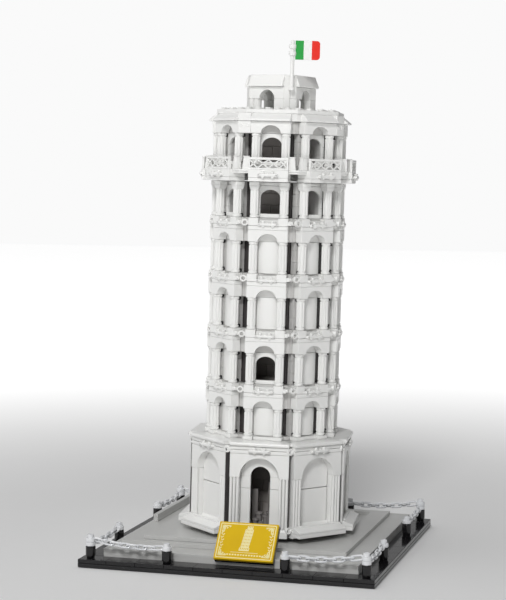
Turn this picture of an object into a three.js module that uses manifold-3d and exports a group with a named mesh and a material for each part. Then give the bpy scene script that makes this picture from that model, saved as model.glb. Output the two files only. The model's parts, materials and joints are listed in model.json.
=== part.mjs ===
// Miniature leaning arcaded tower on a square plaza, a building-block display model.
// Millimetres, +Z up. The origin is the centre of the underside of the base plate,
// and the nameplate and the door face -Y.

import * as THREE from 'three';
import { mergeVertices } from 'three/addons/utils/BufferGeometryUtils.js';
import Module from 'manifold-3d';

// ---------------------------------------------------------------- driving dimensions

// the building grid
const STUD = 8;                    // stud pitch
const PLATE = 3.2;                 // height of a plate or a tile
const BRICK = 9.6;                 // height of a brick
const BAR = 3.2;                   // diameter of a bar that clips grip
const GAP = 0.3;                   // clearance left between pieces
const SEAM = 0.1;                  // clearance between pieces stacked on one another
const OVERLAP = 0.1;               // how far joined shapes reach into one another

// plaza
const BASE_SIDE = 240;             // side of the square base plate
const BORDER = 16;                 // width of the border tiles around the terrace
const POST_INSET = 8;              // base edge to the middle of a bollard
const POST_INNER = 48;             // middle of the plaza to the inner bollards
const POST_DIAMETER = 8;
const POST_HEIGHT = BRICK;
const LOWER_FRONT_LEFT = -84;      // front edge of the lower step, left of the nameplate
const LOWER_FRONT_RIGHT = -76;     // front edge of the lower step, right of the nameplate
const LOWER_LEFT = -96;
const LOWER_RIGHT = 88;
const LOWER_BACK = 96;
const STEP_BREAK = 12;             // where the front edge of the lower step jogs
const UPPER_LEFT = -80;
const UPPER_FRONT = -76;
const UPPER_BACK = 80;
const COURT_RIGHT = 72;            // sunken court behind the tower
const COURT_LEFT = -64;
const COURT_FRONT = 16;
const COURT_BACK = 88;
const COURT_MARGIN = 2;            // ledge around the tower's footing, inside the court
const STEP_MARGIN = 3;             // from the footing to the edge of the upper step
const KERB_WIDTH = 4;              // raised strip along the left of the lower step
const KERB_FRONT = -8;

// chains
const CAP_DIAMETER = 7.6;
const CAP_STUD_DIAMETER = 5.2;
const CAP_STUD_HEIGHT = 2.8;
const CHAIN_THICKNESS = 3;
const CHAIN_SAG = 1.4;

// nameplate
const SIGN_WIDTH = 48;
const SIGN_HEIGHT = 32;
const SIGN_CENTRE = 14;            // from the middle of the plaza
const SIGN_LEAN = 37;              // degrees back from upright
const SIGN_AXIS_UP = 11.3;         // hinge bar above the lower edge, along the plate
const SIGN_AXIS_BACK = 3;          // hinge bar behind the plate
const SIGN_AXIS_RISE = 3.4;        // hinge bar above the ground terrace
const SIGN_AXIS_SETBACK = 6;       // hinge bar behind the front edge of the terrace
const HINGE_LENGTH = 14;           // sleeve on the back of the plate
const EAR_THICKNESS = 4;
const EAR_WALL = 0.9;              // around the hinge bar
const SLEEVE_WALL = 1;             // around the bore of the sleeve
const RIB_HEIGHT = 3.4;            // between the sleeve and the plate
const EAR_FOOT = 4.5;              // depth of the foot of an ear

// tower
const TOWER_X = 4;
const TOWER_Y = 0;
const TOWER_RISE = 4.6;            // tower floor above the lower step, on the tower's axis
const LEAN = 1.4;                  // degrees, towards +X
const TURN = 7;                    // degrees about the tower's axis
const GROUND_APOTHEM = 64;         // axis to the face of the ground storey
const GROUND_FACET = 48;           // width of a ground bay
const GROUND_DEPTH = 8;
const GROUND_HEIGHT = 24 * PLATE;  // top of the cornice
const GROUND_ARCH_SPAN = 32;
const GROUND_SPRING = 15 * PLATE;  // where the ground arches start
const GROUND_WALL = 5;             // thickness of the wall behind the ground arches
const DOOR_WIDTH = 16;
const SKIRT_REACH = 9;             // plinth skirt in front of a blind bay
const CORNICE_REACH = 2;
const WEDGE_APOTHEM = 54;
const GALLERY_APOTHEM = 54;
const BAY = 32;                    // width of a gallery bay
const BAY_DEPTH = 8;
const BAY_SPAN = 16;               // arch opening
const BAY_RISE = 6.4;
const COLUMN_DIAMETER = 7;
const COLUMN_INSET = 4;            // bay edge to the middle of a column
const COLUMN_HEIGHT = 8 * PLATE;
const TALL_COLUMN_HEIGHT = 9 * PLATE;
const PLINTH_HEIGHT = 2 * PLATE;
const ARCH_HEIGHT = BRICK + PLATE; // arch brick and the plate on it
const TIE_DEPTH = 3.7;             // ring that ties the bays together behind the arches
const WALL_THICKNESS = 4;
const WINDOW_WIDTH = 16;
const WINDOW_SPRING = 5 * PLATE;   // above the plinth of a gallery
const CORNER_BLOCK = 11;           // width of the blocks in the corners under the roof
const CORNER_REACH = 56;           // axis to the face of a corner block
const BALCONY_REACH = STUD;
const RAIL_HEIGHT = BRICK;
const RAIL_THICKNESS = 2;
const CORE_SIDE = 24;
const CORNICE_SLOPE = 2 * PLATE;
const EAVES_REACH = 3;
const ROOF_APOTHEM = 50;

// belfry
const BELFRY_TURN = -22.5;         // its faces look along the corners of the tower
const BELFRY_APOTHEM = 23.5;
const BELFRY_DEPTH = 6;
const BELFRY_SPAN = 14;
const BELFRY_RISE = 7.4;
const BELFRY_COLUMN = BRICK;
const BELFRY_CORNER = 10;          // width of the chamfered corner blocks
const BELFRY_EAVES = 3;

// flag
const POLE_LENGTH = 40;
const POLE_OUT = 4.2;              // pole in front of the corner block
const ARM_HEIGHT = 2.9;            // bracket that holds the pole
const FLAG_LENGTH = 22;
const FLAG_HEIGHT = 15.2;
const FLAG_THICKNESS = 1.6;
const FLAG_HEADING = 9;            // degrees, which way the flag points
const CLIP_WALL = 1.2;
const CLIP_BORE = 3.6;             // loose fit on a bar
const CLIP_MOUTH = 2.2;

// ---------------------------------------------------------------- heights

const BORDER_TOP = 2 * PLATE;
const TERRACE_TOP = 4 * PLATE;
const LOWER_TOP = TERRACE_TOP + PLATE;
const UPPER_TOP = LOWER_TOP + PLATE;
const GALLERY_1 = GROUND_HEIGHT;
const GALLERY_2 = GALLERY_1 + COLUMN_HEIGHT + ARCH_HEIGHT;
const GALLERY_PITCH = PLINTH_HEIGHT + COLUMN_HEIGHT + ARCH_HEIGHT;
const GALLERY_5 = GALLERY_2 + 3 * GALLERY_PITCH;
const BALCONY_BOTTOM = GALLERY_5 + PLINTH_HEIGHT + TALL_COLUMN_HEIGHT;
const BALCONY_FLOOR = BALCONY_BOTTOM + BRICK;
const ROOF_BOTTOM = BALCONY_FLOOR + TALL_COLUMN_HEIGHT + BRICK;
const ROOF_TOP = ROOF_BOTTOM + CORNICE_SLOPE + PLATE;
const BELFRY_SPRING = ROOF_TOP + BELFRY_COLUMN;
const BELFRY_EAVE = BELFRY_SPRING + BRICK;
const BELFRY_TOP = BELFRY_EAVE + BRICK;

const BASE_HALF = BASE_SIDE / 2;
const TERRACE_HALF = BASE_HALF - BORDER;
const POST_OUTER = BASE_HALF - POST_INSET;
const WALL_APOTHEM = GALLERY_APOTHEM - BAY_DEPTH - TIE_DEPTH - GAP;
const DEGREE = Math.PI / 180;
const SIDES = 8;
const UP = new THREE.Vector3(0, 0, 1);

// ---------------------------------------------------------------- booleans

const wasm = await Module();
wasm.setup();

function toSolid(geometry) {
  const bare = geometry.clone();
  bare.deleteAttribute('normal');
  bare.deleteAttribute('uv');
  const merged = mergeVertices(bare, 1e-4);
  return new wasm.Manifold(new wasm.Mesh({
    numProp: 3,
    vertProperties: new Float32Array(merged.attributes.position.array),
    triVerts: new Uint32Array(merged.index.array),
  }));
}

function fromSolid(solid) {
  const mesh = solid.getMesh();
  const geometry = new THREE.BufferGeometry();
  geometry.setAttribute('position', new THREE.BufferAttribute(mesh.vertProperties, 3));
  geometry.setIndex(new THREE.BufferAttribute(mesh.triVerts, 1));
  const flat = geometry.toNonIndexed();
  flat.computeVertexNormals();
  return flat;
}

function join(pieces) {
  return fromSolid(pieces.map(toSolid).reduce((sum, piece) => sum.add(piece)));
}

function cut(body, tools) {
  return fromSolid(tools.map(toSolid).reduce((rest, tool) => rest.subtract(tool), toSolid(body)));
}

// ---------------------------------------------------------------- shapes

// a block between two corners
function block(x0, x1, y0, y1, z0, z1) {
  const geometry = new THREE.BoxGeometry(x1 - x0, y1 - y0, z1 - z0);
  return geometry.translate((x0 + x1) / 2, (y0 + y1) / 2, (z0 + z1) / 2);
}

// an upright round or many-sided bar
function post(diameter, z0, z1, sides, x = 0, y = 0) {
  const geometry = new THREE.CylinderGeometry(diameter / 2, diameter / 2, z1 - z0, sides);
  return geometry.rotateX(90 * DEGREE).rotateZ(180 * DEGREE / sides).translate(x, y, (z0 + z1) / 2);
}

// a bar along X
function crossBar(diameter, x0, x1, y, z, sides) {
  const geometry = new THREE.CylinderGeometry(diameter / 2, diameter / 2, x1 - x0, sides);
  return geometry.rotateZ(90 * DEGREE).translate((x0 + x1) / 2, y, z);
}

function octagonPoints(apothem) {
  const radius = apothem / Math.cos(180 * DEGREE / SIDES);
  return Array.from({ length: SIDES }, (_, k) => {
    const angle = (k + 0.5) * 360 * DEGREE / SIDES;
    return new THREE.Vector2(radius * Math.cos(angle), radius * Math.sin(angle));
  });
}

function raise(shape, z0, z1, segments = 6) {
  const options = { depth: z1 - z0, bevelEnabled: false, steps: 1, curveSegments: segments };
  return new THREE.ExtrudeGeometry(shape, options).translate(0, 0, z0);
}

function octagon(apothem, z0, z1) {
  return raise(new THREE.Shape(octagonPoints(apothem)), z0, z1);
}

function octagonRing(outer, inner, z0, z1) {
  const shape = new THREE.Shape(octagonPoints(outer));
  shape.holes.push(new THREE.Path(octagonPoints(inner)));
  return raise(shape, z0, z1);
}

// an octagon that narrows from one apothem to another
function octagonTaper(low, high, z0, z1) {
  const scale = 1 / Math.cos(180 * DEGREE / SIDES);
  const geometry = new THREE.CylinderGeometry(high * scale, low * scale, z1 - z0, SIDES);
  return geometry.rotateX(90 * DEGREE).rotateZ(22.5 * DEGREE).translate(0, 0, (z0 + z1) / 2);
}

// stands an outline drawn in X and height up as a slab whose front faces -Y
function slab(shape, front, back, segments = 6) {
  const options = { depth: front - back, bevelEnabled: false, steps: 1, curveSegments: segments };
  return new THREE.ExtrudeGeometry(shape, options).rotateX(90 * DEGREE).translate(0, -back, 0);
}

// a block with an arch cut out of its lower edge
function archBlock(width, span, rise, z0, z1, front, back) {
  const shape = new THREE.Shape();
  shape.moveTo(-width / 2, z0);
  shape.lineTo(-span / 2, z0);
  shape.absellipse(0, z0, span / 2, rise, Math.PI, 0, true);
  shape.lineTo(width / 2, z0);
  shape.lineTo(width / 2, z1);
  shape.lineTo(-width / 2, z1);
  return slab(shape, front, back);
}

// the solid that an arched opening leaves out
function archTool(width, rise, z0, spring, front, back) {
  const shape = new THREE.Shape();
  shape.moveTo(-width / 2, z0);
  shape.lineTo(-width / 2, spring);
  shape.absellipse(0, spring, width / 2, rise, Math.PI, 0, true);
  shape.lineTo(width / 2, z0);
  return slab(shape, front, back);
}

function around(count, makePieces, turn = 0) {
  return Array.from({ length: count }, (_, k) =>
    makePieces(k).map((piece) => piece.rotateZ((k * 360 / count + turn) * DEGREE))).flat();
}

// ---------------------------------------------------------------- finishes

function finish(colour, roughness, metalness = 0) {
  return new THREE.MeshStandardMaterial({ color: colour, roughness, metalness });
}

const WHITE = finish('#f2f1ef', 0.28);
const PALE_GREY = finish('#c6c6c4', 0.35);
const DARK_GREY = finish('#4a4646', 0.45);
const BLACK = finish('#26262a', 0.15);
const GOLD = finish('#ddb600', 0.3);
const FLAG_PAINT = finish('#1f9e3d', 0.3);

function named(name, geometry, material) {
  const mesh = new THREE.Mesh(geometry, material);
  mesh.name = name;
  return mesh;
}

// ---------------------------------------------------------------- plaza

function plaza() {
  const group = new THREE.Group();
  const border = (x0, x1, y0, y1) => block(x0, x1, y0, y1, PLATE + SEAM, BORDER_TOP);
  const inner = TERRACE_HALF + GAP;
  group.add(
    named('base_plate', block(-BASE_HALF, BASE_HALF, -BASE_HALF, BASE_HALF, 0, PLATE), BLACK),
    named('border_front', border(-BASE_HALF, BASE_HALF, -BASE_HALF, -inner), BLACK),
    named('border_back', border(-BASE_HALF, BASE_HALF, inner, BASE_HALF), BLACK),
    named('border_left', border(-BASE_HALF, -inner, -inner + GAP, inner - GAP), BLACK),
    named('border_right', border(inner, BASE_HALF, -inner + GAP, inner - GAP), BLACK),
    named('ground_terrace', block(-TERRACE_HALF, TERRACE_HALF, -TERRACE_HALF, TERRACE_HALF,
      PLATE + SEAM, TERRACE_TOP), PALE_GREY),
    named('lower_step', lowerStep(), PALE_GREY),
    named('upper_step', upperStep(), PALE_GREY),
    named('left_kerb', block(LOWER_LEFT, LOWER_LEFT + KERB_WIDTH, KERB_FRONT, LOWER_BACK,
      LOWER_TOP + SEAM, UPPER_TOP + PLATE), PALE_GREY),
  );
  return group;
}

// octagonal footing of the tower, drawn larger by a margin
function footing(margin, z0, z1) {
  return octagon(WEDGE_APOTHEM + margin, z0, z1).rotateZ(TURN * DEGREE)
    .translate(TOWER_X, TOWER_Y, 0);
}

function lowerStep() {
  const outline = new THREE.Shape([
    [LOWER_LEFT, LOWER_FRONT_LEFT], [STEP_BREAK, LOWER_FRONT_LEFT], [STEP_BREAK, LOWER_FRONT_RIGHT],
    [LOWER_RIGHT, LOWER_FRONT_RIGHT], [LOWER_RIGHT, LOWER_BACK], [LOWER_LEFT, LOWER_BACK],
  ].map(([x, y]) => new THREE.Vector2(x, y)));
  const whole = raise(outline, TERRACE_TOP + SEAM, LOWER_TOP);
  const court = block(COURT_LEFT, COURT_RIGHT, COURT_FRONT, COURT_BACK, TERRACE_TOP - 1, LOWER_TOP + 1);
  return cut(whole, [cut(court, [footing(COURT_MARGIN, TERRACE_TOP - 2, LOWER_TOP + 2)])]);
}

function upperStep() {
  const whole = block(UPPER_LEFT, STEP_BREAK - GAP, UPPER_FRONT, UPPER_BACK, LOWER_TOP + SEAM, UPPER_TOP);
  const court = block(COURT_LEFT, STEP_BREAK + 1, COURT_FRONT, UPPER_BACK + 1, LOWER_TOP - 1, UPPER_TOP + 1);
  return cut(whole, [court, footing(STEP_MARGIN, LOWER_TOP - 1, UPPER_TOP + 1)]);
}

// the four sides of the plaza, front, right, back and left
const SIDE_NAMES = ['front', 'right', 'back', 'left'];
const POST_PLACES = [-POST_OUTER, -POST_INNER, POST_INNER];

function bollards() {
  const group = new THREE.Group();
  SIDE_NAMES.forEach((side, k) => {
    POST_PLACES.forEach((x, i) => {
      const stem = post(POST_DIAMETER, BORDER_TOP + SEAM, BORDER_TOP + POST_HEIGHT, 12, x, -POST_OUTER);
      group.add(named(`bollard_${side}_${i + 1}`, stem.rotateZ(k * 90 * DEGREE), BLACK));
    });
  });
  return group;
}

// A chain is one moulding: a cap at each end and a run of links between them. On a corner
// bollard two caps are stacked, and the chain that runs along the front or back is the upper one.
function chain(side, end) {
  const foot = BORDER_TOP + POST_HEIGHT + SEAM;
  const upper = side % 2 === 0;
  const cornerFoot = upper ? foot + PLATE + SEAM : foot;
  const cap = (x, z, studded) => {
    const disc = post(CAP_DIAMETER, z, z + PLATE, 8, x, -POST_OUTER);
    const stud = post(CAP_STUD_DIAMETER, z + PLATE - OVERLAP, z + PLATE + CAP_STUD_HEIGHT, 8, x,
      -POST_OUTER);
    return studded ? [disc, stud] : [disc];
  };
  const cornerX = end * POST_OUTER;
  const innerX = end * POST_INNER;
  const a = new THREE.Vector3(cornerX - end * 2, -POST_OUTER, cornerFoot + PLATE / 2);
  const b = new THREE.Vector3(innerX + end * 2, -POST_OUTER, foot + PLATE / 2);
  const middle = a.clone().add(b).multiplyScalar(0.5).addScaledVector(UP, -2 * CHAIN_SAG);
  const route = new THREE.QuadraticBezierCurve3(a, middle, b);
  const section = new THREE.Shape(Array.from({ length: 6 }, (_, k) => new THREE.Vector2(
    CHAIN_THICKNESS / 2 * Math.cos(k * 60 * DEGREE), CHAIN_THICKNESS / 2 * Math.sin(k * 60 * DEGREE))));
  const run = new THREE.ExtrudeGeometry(section, { steps: 6, bevelEnabled: false, extrudePath: route });
  return join([run, ...cap(cornerX, cornerFoot, upper), ...cap(innerX, foot, true)]);
}

function chains() {
  const group = new THREE.Group();
  SIDE_NAMES.forEach((side, k) => {
    [-1, 1].forEach((end) => {
      const name = `chain_${side}_${end < 0 ? 1 : 2}`;
      group.add(named(name, chain(k, end).rotateZ(k * 90 * DEGREE), WHITE));
    });
  });
  return group;
}

// ---------------------------------------------------------------- nameplate

// The plate turns on a bar that stands just behind the front edge of the ground terrace.
// Its group has the bar's axis as its origin, and the plate is drawn upright in it.
const SIGN_AXIS_Y = -TERRACE_HALF + SIGN_AXIS_SETBACK;
const SIGN_AXIS_Z = TERRACE_TOP + SIGN_AXIS_RISE;

function signBracket() {
  const half = HINGE_LENGTH / 2 + GAP;
  const radius = BAR / 2 + EAR_WALL;
  const ear = (x0, x1) => [
    crossBar(2 * radius, x0, x1, 0, 0, 12),
    block(x0, x1, -EAR_FOOT / 2, EAR_FOOT / 2, TERRACE_TOP + SEAM - SIGN_AXIS_Z, 0),
  ];
  const pieces = [
    crossBar(BAR, -half - 1, half + 1, 0, 0, 12),
    ...ear(-half - EAR_THICKNESS, -half),
    ...ear(half, half + EAR_THICKNESS),
  ];
  const bracket = join(pieces).translate(SIGN_CENTRE, SIGN_AXIS_Y, SIGN_AXIS_Z);
  return named('sign_bracket', bracket, BLACK);
}

function sign() {
  const group = new THREE.Group();
  const half = SIGN_WIDTH / 2;
  const low = -SIGN_AXIS_UP;
  const back = -SIGN_AXIS_BACK;
  const outer = CLIP_BORE / 2 + SLEEVE_WALL;
  const sleeve = crossBar(2 * outer, -HINGE_LENGTH / 2, HINGE_LENGTH / 2, 0, 0, 12);
  const rib = block(-HINGE_LENGTH / 2, HINGE_LENGTH / 2, back - OVERLAP, 0, -RIB_HEIGHT / 2, RIB_HEIGHT / 2);
  const plate = block(-half, half, back - PLATE, back, low, low + SIGN_HEIGHT);
  const bore = crossBar(CLIP_BORE / Math.cos(15 * DEGREE), -half, half, 0, 0, 12);
  const backPiece = cut(join([plate, rib, sleeve]), [bore]);
  const front = back - PLATE - SEAM;
  const face = block(-half, half, front - PLATE + SEAM, front, low, low + SIGN_HEIGHT);
  group.add(named('sign_back', backPiece, BLACK), named('sign_face', face, GOLD));
  group.position.set(SIGN_CENTRE, SIGN_AXIS_Y, SIGN_AXIS_Z);
  group.rotation.x = -SIGN_LEAN * DEGREE;
  return group;
}

// ---------------------------------------------------------------- ground storey

// The wedge fills the space between the level plaza and the leaning floor of the tower.
function tiltWedge() {
  const prism = footing(0, LOWER_TOP + SEAM, LOWER_TOP + 3 * TOWER_RISE);
  const reach = 2 * WEDGE_APOTHEM;
  const above = block(-reach, reach, -reach, reach, -GAP, reach);
  above.rotateY(LEAN * DEGREE).translate(TOWER_X, TOWER_Y, LOWER_TOP + TOWER_RISE);
  return named('tilt_wedge', cut(prism, [above]), DARK_GREY);
}

function groundBay(k) {
  const front = GROUND_APOTHEM;
  const back = GROUND_APOTHEM - GROUND_DEPTH;
  const half = GROUND_FACET / 2;
  const pier = half - GROUND_ARCH_SPAN / 2;
  const top = GROUND_HEIGHT - PLATE;
  const door = k === 0;
  const pieces = [
    block(-half, -half + pier, -front, -back, 0, GROUND_SPRING + OVERLAP),
    block(half - pier, half, -front, -back, 0, GROUND_SPRING + OVERLAP),
    archBlock(GROUND_FACET, GROUND_ARCH_SPAN, GROUND_ARCH_SPAN / 2, GROUND_SPRING, top, front, back),
    block(-half, half, -front, -back, 0, door ? PLATE : 3 * PLATE),
  ];
  if (!door) {
    pieces.push(skirt(front));
  }
  return pieces;
}

// two plates with a sloped top in front of a blind bay
function skirt(front) {
  const low = PLATE / 2;
  const high = low + 2 * PLATE;
  const half = GROUND_FACET / 2;
  const outline = new THREE.Shape([
    [-front - SKIRT_REACH, low], [-front + OVERLAP, low], [-front + OVERLAP, high + PLATE / 2],
    [-front - SKIRT_REACH, high - PLATE / 2],
  ].map(([y, z]) => new THREE.Vector2(y, z)));
  const bar = new THREE.ExtrudeGeometry(outline, { depth: 2 * half, bevelEnabled: false });
  bar.rotateX(90 * DEGREE).rotateZ(90 * DEGREE).translate(-half, 0, 0);
  return bar;
}

function groundStorey() {
  const wallOuter = GROUND_APOTHEM - GROUND_DEPTH - GAP;
  const wallInner = wallOuter - GROUND_WALL;
  const top = GROUND_HEIGHT - PLATE - GAP;
  const wall = octagonRing(wallOuter, wallInner, GAP, top);
  const doorway = archTool(DOOR_WIDTH, DOOR_WIDTH / 2, PLATE, GROUND_SPRING, wallOuter + 2, wallInner - 2);
  const cornice = octagon(GROUND_APOTHEM + CORNICE_REACH, GROUND_HEIGHT - PLATE + SEAM, GROUND_HEIGHT);
  return [
    named('ground_arcade', join(around(SIDES, groundBay)), WHITE),
    named('ground_wall', cut(wall, [doorway]), WHITE),
    named('ground_cornice', cornice, WHITE),
    named('core_ground', core(GAP, top), DARK_GREY),
  ];
}

// ---------------------------------------------------------------- galleries

function core(z0, z1) {
  const half = CORE_SIDE / 2;
  return block(-half, half, -half, half, z0, z1).rotateZ(BELFRY_TURN * DEGREE);
}

// The bays of a gallery stand on a plinth course, and a ring ties their heads together. Blocks
// can fill every second corner between the heads.
function arcade(floor, columnFoot, columnTop, head, cornerBlocks) {
  const front = GALLERY_APOTHEM;
  const back = GALLERY_APOTHEM - BAY_DEPTH;
  const tie = WALL_APOTHEM + GAP;
  const half = BAY / 2;
  const columnX = half - COLUMN_INSET;
  const bay = () => {
    const column = (x) => post(COLUMN_DIAMETER, columnFoot - OVERLAP, columnTop + OVERLAP, 6, x,
      -front + COLUMN_INSET);
    const parts = [
      block(-half, half, -front, -tie, floor + GAP, columnFoot),
      column(-columnX),
      column(columnX),
    ];
    if (head > 0) {
      parts.push(archBlock(BAY, BAY_SPAN, BAY_RISE, columnTop, columnTop + head, front, back));
    }
    return parts;
  };
  const pieces = around(SIDES, bay);
  pieces.push(octagonRing(back, tie, floor + GAP, columnFoot));
  if (head > 0) {
    pieces.push(octagonRing(back + OVERLAP, tie, columnTop, columnTop + head));
  }
  if (cornerBlocks) {
    const filler = () => [block(-CORNER_BLOCK / 2, CORNER_BLOCK / 2, -CORNER_REACH, -back,
      columnTop, columnTop + head)];
    pieces.push(...around(SIDES / 2, filler, BELFRY_TURN));
  }
  return join(pieces);
}

// The drum behind the arcade thickens into a panel behind each pair of columns, and the list
// says which of the panels have a window.
function drum(floor, plinthTop, columnTop, top, windows) {
  const outer = GALLERY_APOTHEM - BAY_DEPTH - GAP;
  const inner = WALL_APOTHEM - WALL_THICKNESS;
  const half = BAY / 2;
  const panel = () => [
    block(-half, half, -outer, -WALL_APOTHEM + OVERLAP, plinthTop + GAP, columnTop - GAP),
  ];
  const body = join([octagonRing(WALL_APOTHEM, inner, floor + GAP, top), ...around(SIDES, panel)]);
  const spring = plinthTop + WINDOW_SPRING;
  const opening = () => archTool(WINDOW_WIDTH, BAY_RISE, plinthTop + PLATE, spring, outer + 1, inner - 1);
  return cut(body, windows.map((k) => opening().rotateZ(k * 360 / SIDES * DEGREE)));
}

function galleries() {
  const meshes = [];
  const every = Array.from({ length: SIDES }, (_, k) => k);
  const storeys = [
    { floor: GALLERY_1, plinth: PLATE, columns: COLUMN_HEIGHT - PLATE, head: ARCH_HEIGHT, windows: [] },
    { floor: GALLERY_2, windows: [0, 4] },
    { floor: GALLERY_2 + GALLERY_PITCH, windows: [] },
    { floor: GALLERY_2 + 2 * GALLERY_PITCH, windows: [] },
    { floor: GALLERY_5, columns: TALL_COLUMN_HEIGHT - GAP, head: 0, windows: every },
    { floor: BALCONY_FLOOR, plinth: PLATE, columns: TALL_COLUMN_HEIGHT - PLATE, head: BRICK, windows: every },
  ];
  storeys.forEach((storey, i) => {
    const { floor, windows, plinth = PLINTH_HEIGHT, columns = COLUMN_HEIGHT, head = ARCH_HEIGHT } = storey;
    const plinthTop = floor + plinth;
    const columnTop = plinthTop + columns;
    const top = i === storeys.length - 1;
    const bays = arcade(floor, plinthTop, columnTop, head, top);
    meshes.push(
      named(`gallery_${i + 1}_arcade`, bays, WHITE),
      named(`gallery_${i + 1}_wall`, drum(floor, plinthTop, columnTop, columnTop + head, windows), WHITE),
    );
  });
  meshes.push(
    named('core_lower', core(GALLERY_1 + GAP, BALCONY_BOTTOM - GAP), DARK_GREY),
    named('core_upper', core(BALCONY_FLOOR + GAP, ROOF_BOTTOM - GAP), DARK_GREY),
  );
  return meshes;
}

// ---------------------------------------------------------------- balcony and roof

function balcony() {
  const front = GALLERY_APOTHEM + BALCONY_REACH;
  const half = BAY / 2;
  const railBottom = BALCONY_FLOOR - OVERLAP;
  const railTop = BALCONY_FLOOR + RAIL_HEIGHT;
  const openings = 4;
  const frame = PLATE / 2;
  const pitch = (BAY - frame) / openings;
  const rail = () => {
    const panel = block(-half, half, -front, -front + RAIL_THICKNESS, railBottom, railTop);
    const holes = Array.from({ length: openings }, (_, i) => {
      const x0 = -half + frame + i * pitch;
      return block(x0, x0 + pitch - frame, -front - 1, -front + RAIL_THICKNESS + 1,
        BALCONY_FLOOR + PLATE, railTop - frame);
    });
    return cut(panel, holes);
  };
  const bay = () => [
    block(-half, half, -front, -GALLERY_APOTHEM + BAY_DEPTH, BALCONY_BOTTOM, BALCONY_FLOOR),
    rail(),
  ];
  const deck = octagon(GALLERY_APOTHEM + BALCONY_REACH / 2, BALCONY_FLOOR - PLATE, BALCONY_FLOOR - SEAM);
  return named('balcony', join([deck, ...around(SIDES, bay)]), WHITE);
}

function roofDeck() {
  const eaves = octagonTaper(GALLERY_APOTHEM + EAVES_REACH, ROOF_APOTHEM, ROOF_BOTTOM + SEAM,
    ROOF_BOTTOM + CORNICE_SLOPE);
  const deck = octagon(ROOF_APOTHEM, ROOF_BOTTOM + CORNICE_SLOPE - OVERLAP, ROOF_TOP);
  return named('roof_deck', join([eaves, deck]), WHITE);
}

// ---------------------------------------------------------------- belfry

function belfry() {
  const front = BELFRY_APOTHEM;
  const back = BELFRY_APOTHEM - BELFRY_DEPTH;
  const half = BAY / 2;
  const foot = ROOF_TOP + SEAM;
  const columnWidth = (BAY - BELFRY_SPAN) / 2;
  const face = () => [
    archBlock(BAY, BELFRY_SPAN, BELFRY_RISE, BELFRY_SPRING, BELFRY_EAVE, front, back),
    block(-half, -half + columnWidth, -front, -back, foot, BELFRY_SPRING + OVERLAP),
    block(half - columnWidth, half, -front, -back, foot, BELFRY_SPRING + OVERLAP),
  ];
  const cornerOut = (front + half) / Math.SQRT2;
  const corner = () => [block(-BELFRY_CORNER / 2, BELFRY_CORNER / 2, -cornerOut, -cornerOut + BELFRY_DEPTH,
    foot, BELFRY_EAVE)];
  const arcadePieces = [...around(4, face), ...around(4, corner, 45)];
  const lid = octagonOfBelfry(front + BELFRY_EAVES, cornerOut + BELFRY_EAVES / 2, BELFRY_EAVE + SEAM,
    BELFRY_EAVE + PLATE);
  const cap = octagonOfBelfry(front - BELFRY_EAVES, cornerOut - BELFRY_EAVES, BELFRY_EAVE + PLATE - OVERLAP,
    BELFRY_TOP);
  const turn = BELFRY_TURN * DEGREE;
  return [
    named('belfry_arcade', join(arcadePieces).rotateZ(turn), WHITE),
    named('belfry_roof', join([lid, cap]).rotateZ(turn), WHITE),
  ];
}

// a square block with chamfered corners, given by its two kinds of apothem
function octagonOfBelfry(face, corner, z0, z1) {
  const edge = corner * Math.SQRT2 - face;
  const points = [];
  for (let k = 0; k < 4; k += 1) {
    const turn = k * 90 * DEGREE;
    [-edge, edge].forEach((x) => {
      const point = new THREE.Vector2(x, -face);
      points.push(point.rotateAround(new THREE.Vector2(), turn));
    });
  }
  return raise(new THREE.Shape(points), z0, z1);
}

// ---------------------------------------------------------------- flag

// The pole stands on a bracket in front of one corner block of the belfry.
const POLE_RADIUS = (BELFRY_APOTHEM + BAY / 2) / Math.SQRT2 + POLE_OUT;
const POLE_ANGLE = (BELFRY_TURN - 45) * DEGREE;
const POLE_X = POLE_RADIUS * Math.cos(POLE_ANGLE);
const POLE_Y = POLE_RADIUS * Math.sin(POLE_ANGLE);
const POLE_FOOT = BELFRY_EAVE - PLATE;
const POLE_TOP = POLE_FOOT + POLE_LENGTH;

function flagpole() {
  const stem = post(BAR, POLE_FOOT, POLE_TOP, 10);
  const reach = POLE_OUT - GAP;
  const arm = block(-BAR / 2, reach, -BAR / 2, BAR / 2, POLE_FOOT, POLE_FOOT + ARM_HEIGHT);
  arm.rotateZ(POLE_ANGLE + Math.PI);
  return named('flagpole', join([stem, arm]).translate(POLE_X, POLE_Y, 0), WHITE);
}

// Two clips grip the pole, and the flag's group has the pole's axis as its origin.
function flag() {
  const group = new THREE.Group();
  const outer = CLIP_BORE / 2 + CLIP_WALL;
  const top = POLE_TOP - POLE_FOOT;
  const bottom = top - FLAG_HEIGHT;
  const clipHeight = PLATE;
  const clip = (z0) => cut(post(2 * outer, z0, z0 + clipHeight, 12), [
    post(CLIP_BORE / Math.cos(15 * DEGREE), z0 - 1, z0 + clipHeight + 1, 12),
    block(-2 * outer, 0, -CLIP_MOUTH / 2, CLIP_MOUTH / 2, z0 - 1, z0 + clipHeight + 1),
  ]);
  const cloth = block(CLIP_BORE / 2 + CLIP_WALL / 2, FLAG_LENGTH, -FLAG_THICKNESS / 2, FLAG_THICKNESS / 2,
    bottom, top);
  const geometry = join([cloth, clip(bottom + PLATE), clip(top - PLATE - clipHeight)]);
  group.add(named('flag', geometry, FLAG_PAINT));
  group.position.set(POLE_X, POLE_Y, POLE_FOOT);
  group.rotation.z = FLAG_HEADING * DEGREE;
  return group;
}

// ---------------------------------------------------------------- assembly

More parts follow.
